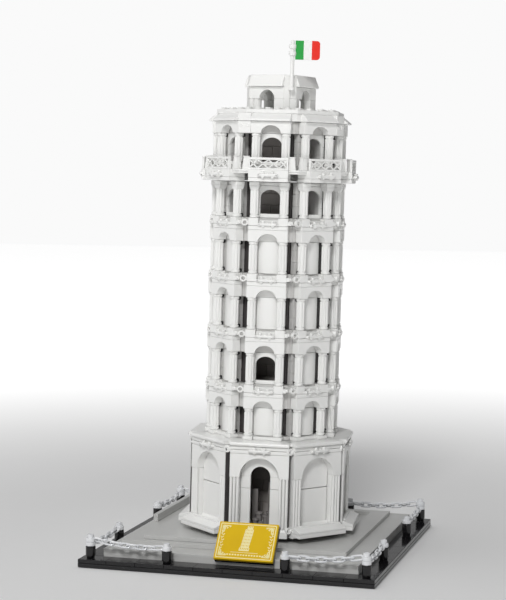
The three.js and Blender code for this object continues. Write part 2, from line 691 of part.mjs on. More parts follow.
// The tower leans towards +X, and turns a little about its own axis.
function tower() {
  const leaning = new THREE.Group();
  const turned = new THREE.Group();
  turned.rotation.z = TURN * DEGREE;
  turned.add(...groundStorey(), ...galleries(), balcony(), roofDeck(), ...belfry(), flagpole(), flag());
  leaning.add(turned);
  leaning.rotation.y = LEAN * DEGREE;
  leaning.position.set(TOWER_X, TOWER_Y, LOWER_TOP + TOWER_RISE);
  return leaning;
}

const model = new THREE.Group();
model.name = 'leaning_tower_model';
model.add(plaza(), bollards(), chains(), signBracket(), sign(), tiltWedge(), tower());

export default model;
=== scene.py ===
"""Models a leaning arcaded tower of building blocks, on its square plaza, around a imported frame.

Shapes are drawn in millimetres, upright and unturned, and each piece is then set in its place.
"""

import json
import math

import bmesh
import bpy
from bpy.props import FloatProperty, FloatVectorProperty, IntProperty, PointerProperty
from mathutils import Matrix, Vector


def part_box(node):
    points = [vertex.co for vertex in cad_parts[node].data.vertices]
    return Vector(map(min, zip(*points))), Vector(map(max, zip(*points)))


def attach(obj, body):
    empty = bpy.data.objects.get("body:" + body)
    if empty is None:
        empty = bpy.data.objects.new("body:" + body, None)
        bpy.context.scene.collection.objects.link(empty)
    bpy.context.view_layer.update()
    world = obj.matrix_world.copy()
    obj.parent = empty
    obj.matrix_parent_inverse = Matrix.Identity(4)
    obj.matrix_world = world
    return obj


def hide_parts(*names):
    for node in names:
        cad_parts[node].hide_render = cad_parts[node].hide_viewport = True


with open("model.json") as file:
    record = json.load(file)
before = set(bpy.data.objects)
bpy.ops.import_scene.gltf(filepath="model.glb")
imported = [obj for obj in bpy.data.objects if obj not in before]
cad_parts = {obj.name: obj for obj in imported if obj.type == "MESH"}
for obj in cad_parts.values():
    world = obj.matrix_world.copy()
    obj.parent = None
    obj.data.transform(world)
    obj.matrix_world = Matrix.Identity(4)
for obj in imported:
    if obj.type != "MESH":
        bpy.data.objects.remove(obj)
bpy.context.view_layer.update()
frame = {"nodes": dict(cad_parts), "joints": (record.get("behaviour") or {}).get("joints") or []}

bl_info = {
    "name": "Leaning block tower",
    "version": (1, 0, 0),
    "blender": (4, 5, 0),
    "location": "View3D > Sidebar > Block Tower",
    "description": "Builds a leaning arcaded tower of building blocks on a plaza",
    "category": "Object",
}

# ---------------------------------------------------------------- the building grid

MM = 0.001
STUD = 8.0
PLATE = 3.2
BRICK = 9.6
SIDES = 8

# heights in the tower's own frame
GROUND_SPRING = 15 * PLATE
GALLERY_1 = 24 * PLATE
COLUMN = 8 * PLATE
TALL_COLUMN = 9 * PLATE
PLINTH = 2 * PLATE
HEAD = BRICK + PLATE
GALLERY_2 = GALLERY_1 + COLUMN + HEAD
PITCH = PLINTH + COLUMN + HEAD
GALLERY_5 = GALLERY_2 + 3 * PITCH
BALCONY_BOTTOM = GALLERY_5 + PLINTH + TALL_COLUMN
BALCONY_FLOOR = BALCONY_BOTTOM + BRICK
ROOF_BOTTOM = BALCONY_FLOOR + TALL_COLUMN + BRICK
ROOF_SLOPE = 2 * PLATE
ROOF_TOP = ROOF_BOTTOM + ROOF_SLOPE + PLATE
BELFRY_SPRING = ROOF_TOP + BRICK
BELFRY_EAVE = BELFRY_SPRING + BRICK
BELFRY_TOP = BELFRY_EAVE + BRICK

# distances from the tower's axis
GROUND_FRONT = 64.0
GROUND_BACK = 56.0
GALLERY_FRONT = 54.0
GALLERY_BACK = 46.0
LINING = 38.6
BALCONY_FRONT = 62.0
ROOF_EDGE = 50.0
BELFRY_FRONT = 23.5
BELFRY_TURN = -22.5
BAY = 32.0
GROUND_BAY = 48.0


def joint(name):
    """The frame's joint of that name."""
    return next(one for one in frame["joints"] if one["name"] == name)


def tower_place():
    """The leaning tower's own frame: its lean and turn come from the flag's joint, and its
    middle from the cornice."""
    flag = joint("flag_swivel")
    axis = Vector(flag["axis"]).normalized()
    lean = Matrix.Rotation(math.atan2(axis.x, axis.z), 4, "Y")
    low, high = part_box("ground_cornice")
    middle = (low + high) / 2 - axis * (GALLERY_1 - (PLATE - 0.1) / 2) * MM
    foot = lean.inverted() @ (Vector(flag["pos_m"]) - middle)
    turn = math.atan2(foot.y, foot.x) - math.radians(BELFRY_TURN - 45)
    place = Matrix.Translation(middle) @ lean @ Matrix.Rotation(turn, 4, "Z")
    return place @ Matrix.Scale(MM, 4)


TOWER = tower_place()
PLAZA = Matrix.Scale(MM, 4)
BELFRY = TOWER @ Matrix.Rotation(math.radians(BELFRY_TURN), 4, "Z")


def facet(number, sides=SIDES):
    """Turns a shape drawn at the front to one of the tower's sides."""
    return Matrix.Rotation(math.tau * number / sides, 4, "Z")


# ---------------------------------------------------------------- shapes


SHARP = 0.6  # radians, past which an edge is rounded off


def shape(build):
    """Lets a shape be drawn in a mesh of its own, and adds it to the given one when it is done."""
    def draw(bm, *values, **settings):
        own = bmesh.new()
        build(own, *values, **settings)
        join_in(bm, own)
    return draw


def join_in(bm, own, place=None):
    """Adds one mesh to another, and frees it."""
    mesh = bpy.data.meshes.new("shape")
    own.to_mesh(mesh)
    own.free()
    if place:
        mesh.transform(place)
    bm.from_mesh(mesh)
    bpy.data.meshes.remove(mesh)


def round_off(bm, edges, width, steps=1):
    """Bevels these edges."""
    bmesh.ops.bevel(
        bm, geom=edges, offset=width, offset_type="OFFSET", segments=steps, profile=0.5,
        affect="EDGES", material=-1, clamp_overlap=True,
    )


def soften(bm, verts, edge, steps=1):
    """Rounds off every edge between these corners."""
    near = {e for v in verts for e in v.link_edges if len(e.link_faces) == 2}
    edges = [e for e in near if e.calc_face_angle() > SHARP]
    if edge > 0 and edges:
        round_off(bm, edges, edge, steps)


@shape
def block(bm, x0, x1, y0, y1, z0, z1, edge=0.2, steps=1):
    """A moulded block between two corners."""
    verts = bmesh.ops.create_cube(bm, size=1)["verts"]
    bmesh.ops.scale(bm, vec=(x1 - x0, y1 - y0, z1 - z0), verts=verts)
    bmesh.ops.translate(bm, vec=((x0 + x1) / 2, (y0 + y1) / 2, (z0 + z1) / 2), verts=verts)
    soften(bm, verts, edge, steps)


@shape
def tapered(bm, centre, low, high, z0, z1, edge=0.2):
    """A block whose foot and top have different widths and depths."""
    verts = bmesh.ops.create_cube(bm, size=1)["verts"]
    for v in verts:
        size = high if v.co.z > 0 else low
        v.co = Vector((v.co.x * size[0] + centre[0], v.co.y * size[1] + centre[1], z1 if v.co.z > 0 else z0))
    soften(bm, verts, edge)


def thicken(bm, face, depth, edge, direction=(0, 1, 0)):
    """Pulls a face back into a solid and rounds off its edges."""
    front = list(face.verts)
    grown = bmesh.ops.extrude_face_region(bm, geom=[face])["geom"]
    back = [g for g in grown if isinstance(g, bmesh.types.BMVert)]
    bmesh.ops.translate(bm, vec=Vector(direction) * depth, verts=back)
    faces = list({f for v in front + back for f in v.link_faces})
    bmesh.ops.recalc_face_normals(bm, faces=faces)
    soften(bm, front + back, edge)


@shape
def outline(bm, points, front, back, edge=0.2):
    """A slab with this outline, given in x and z, between two distances from the axis."""
    verts = [bm.verts.new((x, -front, z)) for x, z in points]
    thicken(bm, bm.faces.new(verts), front - back, edge)


@shape
def arched(bm, width, span, rise, z0, z1, front, back, edge=0.2, point=0.0, foot=0.0):
    """A block with an arch over its lower edge. Point lifts the crown, and foot carries the
    two sides down past the springing."""
    start = bm.verts.new((-span / 2, -front, z0))
    bmesh.ops.spin(
        bm, geom=[start], cent=(0, -front, z0), axis=(0, 1, 0), angle=math.pi, steps=18,
        use_merge=False, use_duplicate=False,
    )
    arc = list(bm.verts)
    for v in arc:
        share = (v.co.z - z0) / (span / 2)
        v.co.z = z0 + share * rise + point * max(0.0, share - 0.6) ** 2 * 6
    sides = [(span / 2, z0 - foot)] if foot else []
    sides += [(width / 2, z0 - foot), (width / 2, z1), (-width / 2, z1), (-width / 2, z0 - foot)]
    sides += [(-span / 2, z0 - foot)] if foot else []
    corners = [bm.verts.new((x, -front, z)) for x, z in sides]
    thicken(bm, bm.faces.new(arc + corners), front - back, edge)


@shape
def lathe(bm, profile, centre=(0, 0, 0), steps=20, axis="Z", span=math.tau):
    """Turns a profile of (radius, height) about an axis. It starts and ends on the axis, or
    comes back to its first point."""
    verts = [bm.verts.new((radius, 0, height)) for radius, height in profile]
    edges = [bm.edges.new(pair) for pair in zip(verts, verts[1:])]
    if profile[0][0] > 0:
        edges.append(bm.edges.new((verts[-1], verts[0])))
    bmesh.ops.spin(
        bm, geom=verts + edges, cent=(0, 0, 0), axis=(0, 0, 1), angle=span, steps=steps,
        use_merge=True, use_duplicate=False,
    )
    bmesh.ops.remove_doubles(bm, verts=bm.verts, dist=1e-4)
    bmesh.ops.recalc_face_normals(bm, faces=bm.faces)
    turn = {"X": Matrix.Rotation(math.pi / 2, 4, "Y"), "Y": Matrix.Rotation(math.pi / 2, 4, "X")}
    place = Matrix.Translation(centre) @ turn.get(axis, Matrix.Identity(4))
    bmesh.ops.transform(bm, matrix=place, verts=bm.verts)


def rod(bm, radius, z0, z1, centre=(0, 0, 0), steps=16, axis="Z", edge=0.25):
    """A round bar with rounded ends."""
    lathe(bm, [
        (0, z0), (radius - edge, z0), (radius, z0 + edge), (radius, z1 - edge),
        (radius - edge, z1), (0, z1),
    ], centre, steps, axis)


def ring(bm, outer, inner, z0, z1, centre=(0, 0, 0), steps=18, axis="Z", edge=0.2):
    """A round ring with rounded rims."""
    lathe(bm, [
        (inner, z0 + edge), (inner + edge, z0), (outer - edge, z0), (outer, z0 + edge),
        (outer, z1 - edge), (outer - edge, z1), (inner + edge, z1), (inner, z1 - edge),
    ], centre, steps, axis)


def stud(bm, x, y, z, hollow=False, steps=12):
    """The round stud on top of a block."""
    if hollow:
        ring(bm, 2.4, 1.5, z - 0.2, z + 1.7, (x, y, 0), steps)
    else:
        rod(bm, 2.4, z - 0.2, z + 1.7, (x, y, 0), steps)


@shape
def ramp(bm, points, x0, x1, edge=0.2):
    """A bar along x with this outline, given in y and z."""
    verts = [bm.verts.new((x0, y, z)) for y, z in points]
    thicken(bm, bm.faces.new(verts), x1 - x0, edge, (1, 0, 0))


@shape
def strut(bm, start, end, y0, y1, width):
    """A flat bar between two points given in x and z."""
    a, b = Vector((start[0], 0, start[1])), Vector((end[0], 0, end[1]))
    verts = bmesh.ops.create_cube(bm, size=1)["verts"]
    bmesh.ops.scale(bm, vec=((b - a).length, y1 - y0, width), verts=verts)
    turn = Matrix.Rotation(-math.atan2(b.z - a.z, b.x - a.x), 4, "Y")
    middle = (a + b) / 2 + Vector((0, (y0 + y1) / 2, 0))
    bmesh.ops.transform(bm, matrix=Matrix.Translation(middle) @ turn, verts=verts)


@shape
def bowed(bm, half, y0, y1, z0, z1, bow):
    """A panel whose front bulges a little between its two edges."""
    verts = bmesh.ops.create_cube(bm, size=1)["verts"]
    bmesh.ops.scale(bm, vec=(2 * half, y1 - y0, z1 - z0), verts=verts)
    bmesh.ops.translate(bm, vec=(0, (y0 + y1) / 2, (z0 + z1) / 2), verts=verts)
    edges = {e for v in verts for e in v.link_edges}
    across = [e for e in edges if abs(e.verts[0].co.x - e.verts[1].co.x) > half]
    bmesh.ops.subdivide_edges(bm, edges=across, cuts=10, use_grid_fill=True)
    for v in bm.verts:
        if v.co.y < (y0 + y1) / 2:
            v.co.y -= bow * (1 - (v.co.x / half) ** 2)


@shape
def octagon(bm, apothem, z0, z1, edge=0.2, steps=1):
    """An eight-sided slab."""
    scale = 1 / math.cos(math.pi / SIDES)
    place = Matrix.Translation((0, 0, z0)) @ Matrix.Rotation(math.pi / SIDES, 4, "Z")
    bmesh.ops.create_circle(bm, cap_ends=True, segments=SIDES, radius=apothem * scale, matrix=place)
    grown = bmesh.ops.extrude_face_region(bm, geom=bm.faces[:])["geom"]
    high = [g for g in grown if isinstance(g, bmesh.types.BMVert)]
    bmesh.ops.translate(bm, vec=(0, 0, z1 - z0), verts=high)
    bmesh.ops.recalc_face_normals(bm, faces=bm.faces)
    soften(bm, bm.verts, edge, steps)


def groove(bm, direction, places, width=0.22, depth=0.3, tops=True):
    """Cuts the fine seams between neighbouring blocks round a solid, at these places. Without
    tops, the upper face stays whole."""
    normal = Vector(direction)
    for place in places:
        geometry = bm.verts[:] + bm.edges[:] + bm.faces[:]
        cut = bmesh.ops.bisect_plane(bm, geom=geometry, plane_co=normal * place, plane_no=normal, dist=1e-5)
        edges = [g for g in cut["geom_cut"] if isinstance(g, bmesh.types.BMEdge)]
        if not edges:
            continue
        round_off(bm, edges, width, 2)
        bm.normal_update()
        middle = [v for v in bm.verts if abs(v.co.dot(normal) - place) < 1e-4]
        shifts = [(v, v.normal - normal * v.normal.dot(normal)) for v in middle]
        for v, shift in shifts:
            if shift.length > 0.1 and (tops or v.normal.z < 0.9):
                v.co -= shift.normalized() * depth


def copy_of(node, edge, steps=1):
    """A frame node's own solid, in millimetres, with its sharp edges rounded off."""
    bm = bmesh.new()
    bm.from_mesh(frame["nodes"][node].data)
    bmesh.ops.scale(bm, vec=(1 / MM,) * 3, verts=bm.verts)
    bmesh.ops.remove_doubles(bm, verts=bm.verts, dist=1e-3)
    bmesh.ops.dissolve_limit(bm, angle_limit=0.02, verts=bm.verts, edges=bm.edges)
    sharp = [e for e in bm.edges if len(e.link_faces) == 2 and e.calc_face_angle() > 0.5]
    round_off(bm, sharp, edge, steps)
    return bm


def kept(build, *values, **settings):
    """Builds a shape once, so that it can be stamped many times."""
    bm = bmesh.new()
    build(bm, *values, **settings)
    mesh = bpy.data.meshes.new("kept_shape")
    bm.to_mesh(mesh)
    bm.free()
    return mesh


def stamp(bm, mesh, place):
    """Adds a copy of a kept shape."""
    copy = mesh.copy()
    copy.transform(place)
    bm.from_mesh(copy)
    bpy.data.meshes.remove(copy)


def all_round(bm, mesh, sides=SIDES, which=None):
    """Stamps a kept shape on each side of the tower, or on the sides named."""
    for number in range(sides) if which is None else which:
        stamp(bm, mesh, facet(number, sides))


def piece(name, bm, place, material, nodes=(), body="model", smooth=50):
    """Makes the finished piece, sets it in its place and ties it to the frame."""
    bmesh.ops.transform(bm, matrix=place, verts=bm.verts)
    mesh = bpy.data.meshes.new(name)
    bm.to_mesh(mesh)
    bm.free()
    mesh.shade_smooth()
    mesh.set_sharp_from_angle(angle=math.radians(smooth))
    mesh.materials.append(material)
    made = bpy.data.objects.new(name, mesh)
    bpy.context.scene.collection.objects.link(made)
    # flat faces stay flat, and only their rounded edges are shaded smooth
    weighted = made.modifiers.new("weighted_normals", "WEIGHTED_NORMAL")
    weighted.keep_sharp = True
    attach(made, body)
    if nodes:
        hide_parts(*nodes)
    return made


# ---------------------------------------------------------------- materials


def linear(colour):
    """A linear colour from an sRGB hex value."""
    parts = [int(colour[i:i + 2], 16) / 255 for i in (1, 3, 5)]
    return [p / 12.92 if p <= 0.04045 else ((p + 0.055) / 1.055) ** 2.4 for p in parts] + [1.0]


def add_node(tree, kind, inputs=None, **settings):
    """Adds a shader node. An input takes a value, or the node and output that feed it."""
    made = tree.nodes.new(kind)
    for name, value in settings.items():
        setattr(made, name, value)
    for socket, value in (inputs or {}).items():
        if isinstance(value, tuple) and isinstance(value[0], bpy.types.Node):
            tree.links.new(value[0].outputs[value[1]], made.inputs[socket])
        else:
            made.inputs[socket].default_value = value
    return made


def new_material(name):
    """An empty node material and its output."""
    material = bpy.data.materials.get(name) or bpy.data.materials.new(name)
    material.use_nodes = True
    material.node_tree.nodes.clear()
    return material, material.node_tree


def noise(tree, place, scale, detail=2.0, roughness=0.5):
    """Noise over the object, at this many cells to the metre."""
    return add_node(tree, "ShaderNodeTexNoise", {
        "Vector": (place, "Object"), "Scale": scale, "Detail": detail, "Roughness": roughness,
    })


def spread_out(tree, source, low, high):
    """Stretches the middle of a noise between two values."""
    return add_node(tree, "ShaderNodeMapRange", {
        "Value": (source, "Fac"), "From Min": 0.3, "From Max": 0.7, "To Min": low, "To Max": high,
    })


def moulded_abs(name, colour, shade, roughness, ripple=0.02, sheen_spread=0.012):
    """Injection-moulded ABS: a smooth skin with a soft gloss, a very slight unevenness of
    colour from block to block, and a faint ripple that breaks up its reflections."""
    material, tree = new_material(name)
    place = add_node(tree, "ShaderNodeTexCoord")
    # blocks differ a little in tone, over about the size of a block
    spread = spread_out(tree, noise(tree, place, 38.0), 0.0, 1.0)
    colours = add_node(tree, "ShaderNodeMix", {
        "Factor": (spread, "Result"), "A": linear(shade), "B": tuple(colour),
    }, data_type="RGBA")
    # the mould's polish varies over a few millimetres
    polish = noise(tree, place, 180.0, 3.0, 0.55)
    gloss = spread_out(tree, polish, roughness - sheen_spread, roughness + sheen_spread)
    # orange peel is about 0.3 mm across, and is drawn at 2.5 mm so that it shows
    peel = noise(tree, place, 400.0)
    bump = add_node(tree, "ShaderNodeBump", {
        "Height": (peel, "Fac"), "Strength": ripple, "Distance": 0.0001,
    })
    shader = add_node(tree, "ShaderNodeBsdfPrincipled", {
        "Base Color": (colours, "Result"), "Roughness": (gloss, "Result"),
        "Normal": (bump, "Normal"), "IOR": 1.53,
    })
    add_node(tree, "ShaderNodeOutputMaterial", {"Surface": (shader, "BSDF")})
    return material


def printed_gold(name, colour, light, roughness):
    """A golden tile with a printed face: a smooth lacquer over the colour, and a very faint
    cloudiness in the print."""
    material, tree = new_material(name)
    place = add_node(tree, "ShaderNodeTexCoord")
    cloud = noise(tree, place, 90.0, 3.0)
    # printing dots are about 0.1 mm apart, and are drawn at 0.8 mm so that they show
    dots = add_node(tree, "ShaderNodeTexVoronoi", {"Vector": (place, "Object"), "Scale": 1250.0})
    spread = spread_out(tree, cloud, 0.0, 0.5)
    colours = add_node(tree, "ShaderNodeMix", {
        "Factor": (spread, "Result"), "A": tuple(colour), "B": linear(light),
    }, data_type="RGBA")
    bump = add_node(tree, "ShaderNodeBump", {
        "Height": (dots, "Distance"), "Strength": 0.03, "Distance": 0.0002,
    })
    shader = add_node(tree, "ShaderNodeBsdfPrincipled", {
        "Base Color": (colours, "Result"), "Roughness": roughness, "Normal": (bump, "Normal"),
        "IOR": 1.5, "Specular IOR Level": 0.2,
    })
    add_node(tree, "ShaderNodeOutputMaterial", {"Surface": (shader, "BSDF")})
    return material


def printed_stripes(name, colours, start, direction, length):
    """Three equal stripes printed on ABS, with a thin uneven edge between them."""
    material, tree = new_material(name)
    place = add_node(tree, "ShaderNodeTexCoord")
    along = add_node(tree, "ShaderNodeVectorMath", {
        0: (place, "Object"), 1: tuple(start),
    }, operation="SUBTRACT")
    share = add_node(tree, "ShaderNodeVectorMath", {
        0: (along, "Vector"), 1: tuple(direction / length),
    }, operation="DOT_PRODUCT")
    grain = noise(tree, place, 900.0)
    edge = add_node(tree, "ShaderNodeMath", {0: (grain, "Fac"), 1: 0.012}, operation="MULTIPLY")
    total = add_node(tree, "ShaderNodeMath", {0: (share, "Value"), 1: (edge, "Value")}, operation="ADD")
    ramp_node = add_node(tree, "ShaderNodeValToRGB", {"Fac": (total, "Value")})
    ramp_node.color_ramp.interpolation = "CONSTANT"
    stops = ramp_node.color_ramp.elements
    stops[0].position, stops[0].color = 0.0, linear(colours[0])
    stops[1].position, stops[1].color = 1 / 3, linear(colours[1])
    last = stops.new(2 / 3)
    last.color = linear(colours[2])
    shader = add_node(tree, "ShaderNodeBsdfPrincipled", {
        "Base Color": (ramp_node, "Color"), "Roughness": 0.35, "IOR": 1.53,
    })
    add_node(tree, "ShaderNodeOutputMaterial", {"Surface": (shader, "BSDF")})
    return material


# each finish: how it is made, its colour setting, its second tone and its roughness
FINISHES = {
    "gloss_white_abs": (moulded_abs, "white", "#F0F0EE", 0.3),
    # this pale grey is painted shade on the white walls in the recesses
    "pale_grey_abs": (moulded_abs, "pale_grey", "#CBCAC8", 0.3),
    "light_grey_abs": (moulded_abs, "light_grey", "#C3C3C1", 0.3),
    "stone_grey_abs": (moulded_abs, "stone_grey", "#A8A29E", 0.4),
    "dark_grey_abs": (moulded_abs, "dark_grey", "#3C3939", 0.42),
    "clear_grey_abs": (moulded_abs, "clear_grey", "#6E6A69", 0.2),
    "polished_black_abs": (moulded_abs, "black", "#121113", 0.12, 0.01, 0.02),
    # painted shade: black for the holes at the columns' feet and heads
    "black_pin_abs": (moulded_abs, "pin_black", "#19181A", 0.3),
    "pearl_chain_abs": (moulded_abs, "pearl", "#DFE1E4", 0.2),
    "gold_printed_tile": (printed_gold, "gold", "#D6AC00", 0.5),
    "pale_gold_print": (printed_gold, "pale_gold", "#F0E4A0", 0.5),
}


def finish(name):
    """The material of that name, made the first time it is asked for."""
    made = bpy.data.materials.get(name)
    if made:
        return made
    if name not in FINISHES:
        raise RuntimeError(f"no finish is called {name}")
    build, colour, *rest = FINISHES[name]
    return build(name, getattr(bpy.context.scene.block_colours, colour), *rest)


# ---------------------------------------------------------------- settings


def size_setting(name, description, value, low, high):
    """A length, given in millimetres."""
    return FloatProperty(
        name=name, description=description, default=value * MM, min=low * MM, max=high * MM,
        unit="LENGTH", subtype="DISTANCE", precision=5,
    )


def colour_setting(name, description, value):
    """A colour, given as an sRGB hex value."""
    return FloatVectorProperty(
        name=name, description=description, default=linear(value), subtype="COLOR", size=4,
        min=0.0, max=1.0,
    )


class BlockTowerSettings(bpy.types.PropertyGroup):
    """Sizes of the tower's details, which the frame doesn't fix."""

    seam: size_setting("Seam", "Half the width of the seam between two blocks", 0.22, 0.05, 0.5)
    shaft: size_setting("Shaft", "Radius of a gallery's fluted columns", 3.5, 2.5, 3.9)
    flutes: IntProperty(name="Flutes", description="Grooves round a column", default=8, min=6, max=16)
    link: size_setting("Link", "Length of one link of a chain", 9.5, 6, 14)
    bow: size_setting("Bow", "How far a closed panel bulges", 2.0, 0, 2.4)


class BlockColours(bpy.types.PropertyGroup):
    """Colours of the moulded and printed parts."""

    white: colour_setting("White", "Colour of the tower", "#F1F1EF")
    # painted shade: the white walls and ties in the recesses take this pale grey
    pale_grey: colour_setting("Pale grey", "Colour of the walls in the recesses", "#CFCECC")
    light_grey: colour_setting("Light grey", "Colour of the terraces", "#C7C7C5")
    stone_grey: colour_setting("Stone grey", "Colour of the core", "#B5AEAA")
    # dark grey: the wedge's own colour, and painted shade on the lining inside the tower
    dark_grey: colour_setting("Dark grey", "Colour of the lining and the wedge", "#4A4646")
    clear_grey: colour_setting("Smoky grey", "Colour of the fittings behind the door", "#8E8A88")
    black: colour_setting("Black", "Colour of the base, border and bollards", "#171618")
    # painted shade in the holes at the columns' feet and heads
    pin_black: colour_setting("Pin black", "Colour of the pins behind the columns", "#232224")
    pearl: colour_setting("Pearl", "Colour of the chains", "#EDEEF0")
    gold: colour_setting("Gold", "Colour of the nameplate", "#DDB600")
    pale_gold: colour_setting("Pale gold", "Colour of the print on the nameplate", "#F6ECB4")


class PlazaSettings(bpy.types.PropertyGroup):
    """How the plaza is tiled, and the paper it stands on."""

    border_tile: size_setting("Border tile", "Length of one tile of the black border", 24, 8, 64)
    terrace_tile: size_setting("Terrace tile", "Side of one tile of the terraces", 32, 8, 64)
    floor_colour: colour_setting("Floor", "Colour of the floor", "#F0F0F0")


# ---------------------------------------------------------------- plaza


def box_mm(node):
    """A node's lowest and highest corners in millimetres."""
    low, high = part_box(node)
    return low / MM, high / MM


def steps_between(low, high, pitch):
    """Where the seams of a row of tiles fall."""
    first = math.ceil((low + 2) / pitch)
    return [n * pitch for n in range(first, math.floor((high - 2) / pitch) + 1)]


class BUILD_OT_block_tower_base(bpy.types.Operator):
    """Makes the black base plate and the tiled border around the terraces"""

    bl_idname = "block_tower.base"
    bl_label = "Base and border"

    def execute(self, context):
        plaza = context.scene.block_plaza
        seam = context.scene.block_tower.seam / MM
        black = finish("polished_black_abs")
        low, high = box_mm("base_plate")
        bm = bmesh.new()
        block(bm, low.x, high.x, low.y, high.y, low.z, high.z, 0.35, 2)
        piece("base_plate_moulded", bm, PLAZA, black, ["base_plate"])
        for side, axis in (("front", "x"), ("back", "x"), ("left", "y"), ("right", "y")):
            low, high = box_mm(f"border_{side}")
            bm = bmesh.new()
            block(bm, low.x, high.x, low.y, high.y, low.z, high.z, 0.45, 2)
            direction = (1, 0, 0) if axis == "x" else (0, 1, 0)
            pitch = plaza.border_tile / MM
            places = steps_between(getattr(low, axis), getattr(high, axis), pitch)
            groove(bm, direction, places, seam, 0.35)
            piece(f"border_{side}_tiles", bm, PLAZA, black, [f"border_{side}"])
        return {"FINISHED"}


class BUILD_OT_block_tower_terraces(bpy.types.Operator):
    """Makes the tiled steps that the tower stands on"""

    bl_idname = "block_tower.terraces"
    bl_label = "Terraces"

    def execute(self, context):
        pitch = context.scene.block_plaza.terrace_tile / MM
        seam = context.scene.block_tower.seam / MM
        grey = finish("light_grey_abs")
        # where a level seam runs between two layers of plates
        layers = {"ground_terrace": [3 * PLATE], "lower_step": [], "upper_step": [], "left_kerb": [6 * PLATE]}
        for node, seams in layers.items():
            low, high = box_mm(node)
            bm = copy_of(node, 0.3, 2)
            groove(bm, (0, 0, 1), seams, seam, 0.3)
            groove(bm, (1, 0, 0), steps_between(low.x, high.x, pitch), seam, 0.3, False)
            groove(bm, (0, 1, 0), steps_between(low.y, high.y, pitch), seam, 0.3, False)
            piece(f"{node}_tiles", bm, PLAZA, grey, [node])
        return {"FINISHED"}


class BUILD_OT_block_tower_bollards(bpy.types.Operator):
    """Makes the black posts around the border"""

    bl_idname = "block_tower.bollards"
    bl_label = "Bollards"

    def execute(self, context):
        for side in ("front", "right", "back", "left"):
            for number in (1, 2, 3):
                node = f"bollard_{side}_{number}"
                low, high = box_mm(node)
                centre = (low + high) / 2
                foot, top = low.z, high.z
                bm = bmesh.new()
                lathe(bm, [
                    (0, foot), (3.0, foot), (3.2, foot + 0.2), (3.2, foot + 1.5), (3.75, foot + 1.7),
                    (3.95, foot + 2.0), (3.95, top - 0.5), (3.7, top - 0.15), (3.4, top), (0, top),
                ], (centre.x, centre.y, 0), 28)
                piece(f"{node}_turned", bm, PLAZA, finish("polished_black_abs"), [node])
        return {"FINISHED"}


@shape
def link(bm, length, width, wire, place):
    """One oval link of a chain, lying in the plane of x and y."""
    start = Matrix.Translation((width / 2, 0, 0)) @ Matrix.Rotation(math.pi / 2, 4, "X")
    bmesh.ops.create_circle(bm, cap_ends=False, segments=6, radius=wire, matrix=start)
    bmesh.ops.spin(
        bm, geom=bm.verts[:] + bm.edges[:], cent=(0, 0, 0), axis=(0, 0, 1), angle=math.tau, steps=14,
        use_merge=True, use_duplicate=False,
    )
    half = (length - width) / 2
    for v in bm.verts:
        v.co.y += half if v.co.y > 0.05 else -half if v.co.y < -0.05 else 0.0
    bmesh.ops.recalc_face_normals(bm, faces=bm.faces)
    bmesh.ops.transform(bm, matrix=place, verts=bm.verts)


class BUILD_OT_block_tower_chains(bpy.types.Operator):
    """Makes the moulded chains that hang between the bollards, with their caps"""

    bl_idname = "block_tower.chains"
    bl_label = "Chains"

    def execute(self, context):
        # how far the row, the inner post and the top of a post are from the middle and the ground
        inset, inner, foot = 112.0, 48.0, 16.1
        reach, eye, sag = 4.2, 1.9, 1.9
        length = context.scene.block_tower.link / MM
        for k, side in enumerate(("front", "right", "back", "left")):
            for number, end in ((1, -1), (2, 1)):
                bm = bmesh.new()
                upper = k % 2 == 0
                corner_foot = foot + 3.3 if upper else foot
                for x, z, studded in ((end * inset, corner_foot, upper), (end * inner, foot, True)):
                    self.cap(bm, x, -inset, z, studded)
                a = Vector((end * (inset - reach), -inset, corner_foot + eye))
                b = Vector((end * (inner + reach), -inset, foot + eye))
                self.run(bm, a, b, sag, length)
                turn = PLAZA @ facet(k, 4)
                node = f"chain_{side}_{number}"
                piece(f"{node}_links", bm, turn, finish("pearl_chain_abs"), [node])
        return {"FINISHED"}

    def cap(self, bm, x, y, z, studded):
        """A flat round cap, with a hollow stud on the upper one."""
        rod(bm, 3.8, z, z + PLATE, (x, y, 0), 24, edge=0.35)
        if studded:
            ring(bm, 2.6, 1.5, z + PLATE - 0.1, z + PLATE + 2.7, (x, y, 0), 20)

    def run(self, bm, a, b, sag, length):
        """Links that turn alternately, on a shallow curve."""
        width, wire = 4.0, 0.82
        pitch = length * 0.76
        count = max(2, round((b - a).length / pitch))
        for i in range(count):
            t = (i + 0.5) / count
            middle = a.lerp(b, t) - Vector((0, 0, 4 * sag * t * (1 - t)))
            slope = (b - a) - Vector((0, 0, 4 * sag * (1 - 2 * t)))
            along = slope.normalized().to_track_quat("Y", "Z").to_matrix().to_4x4()
            tilt = math.radians(38 if i % 2 else -52)
            place = Matrix.Translation(middle) @ along @ Matrix.Rotation(tilt, 4, "Y")
            link(bm, length, width, wire, place)


# ---------------------------------------------------------------- nameplate


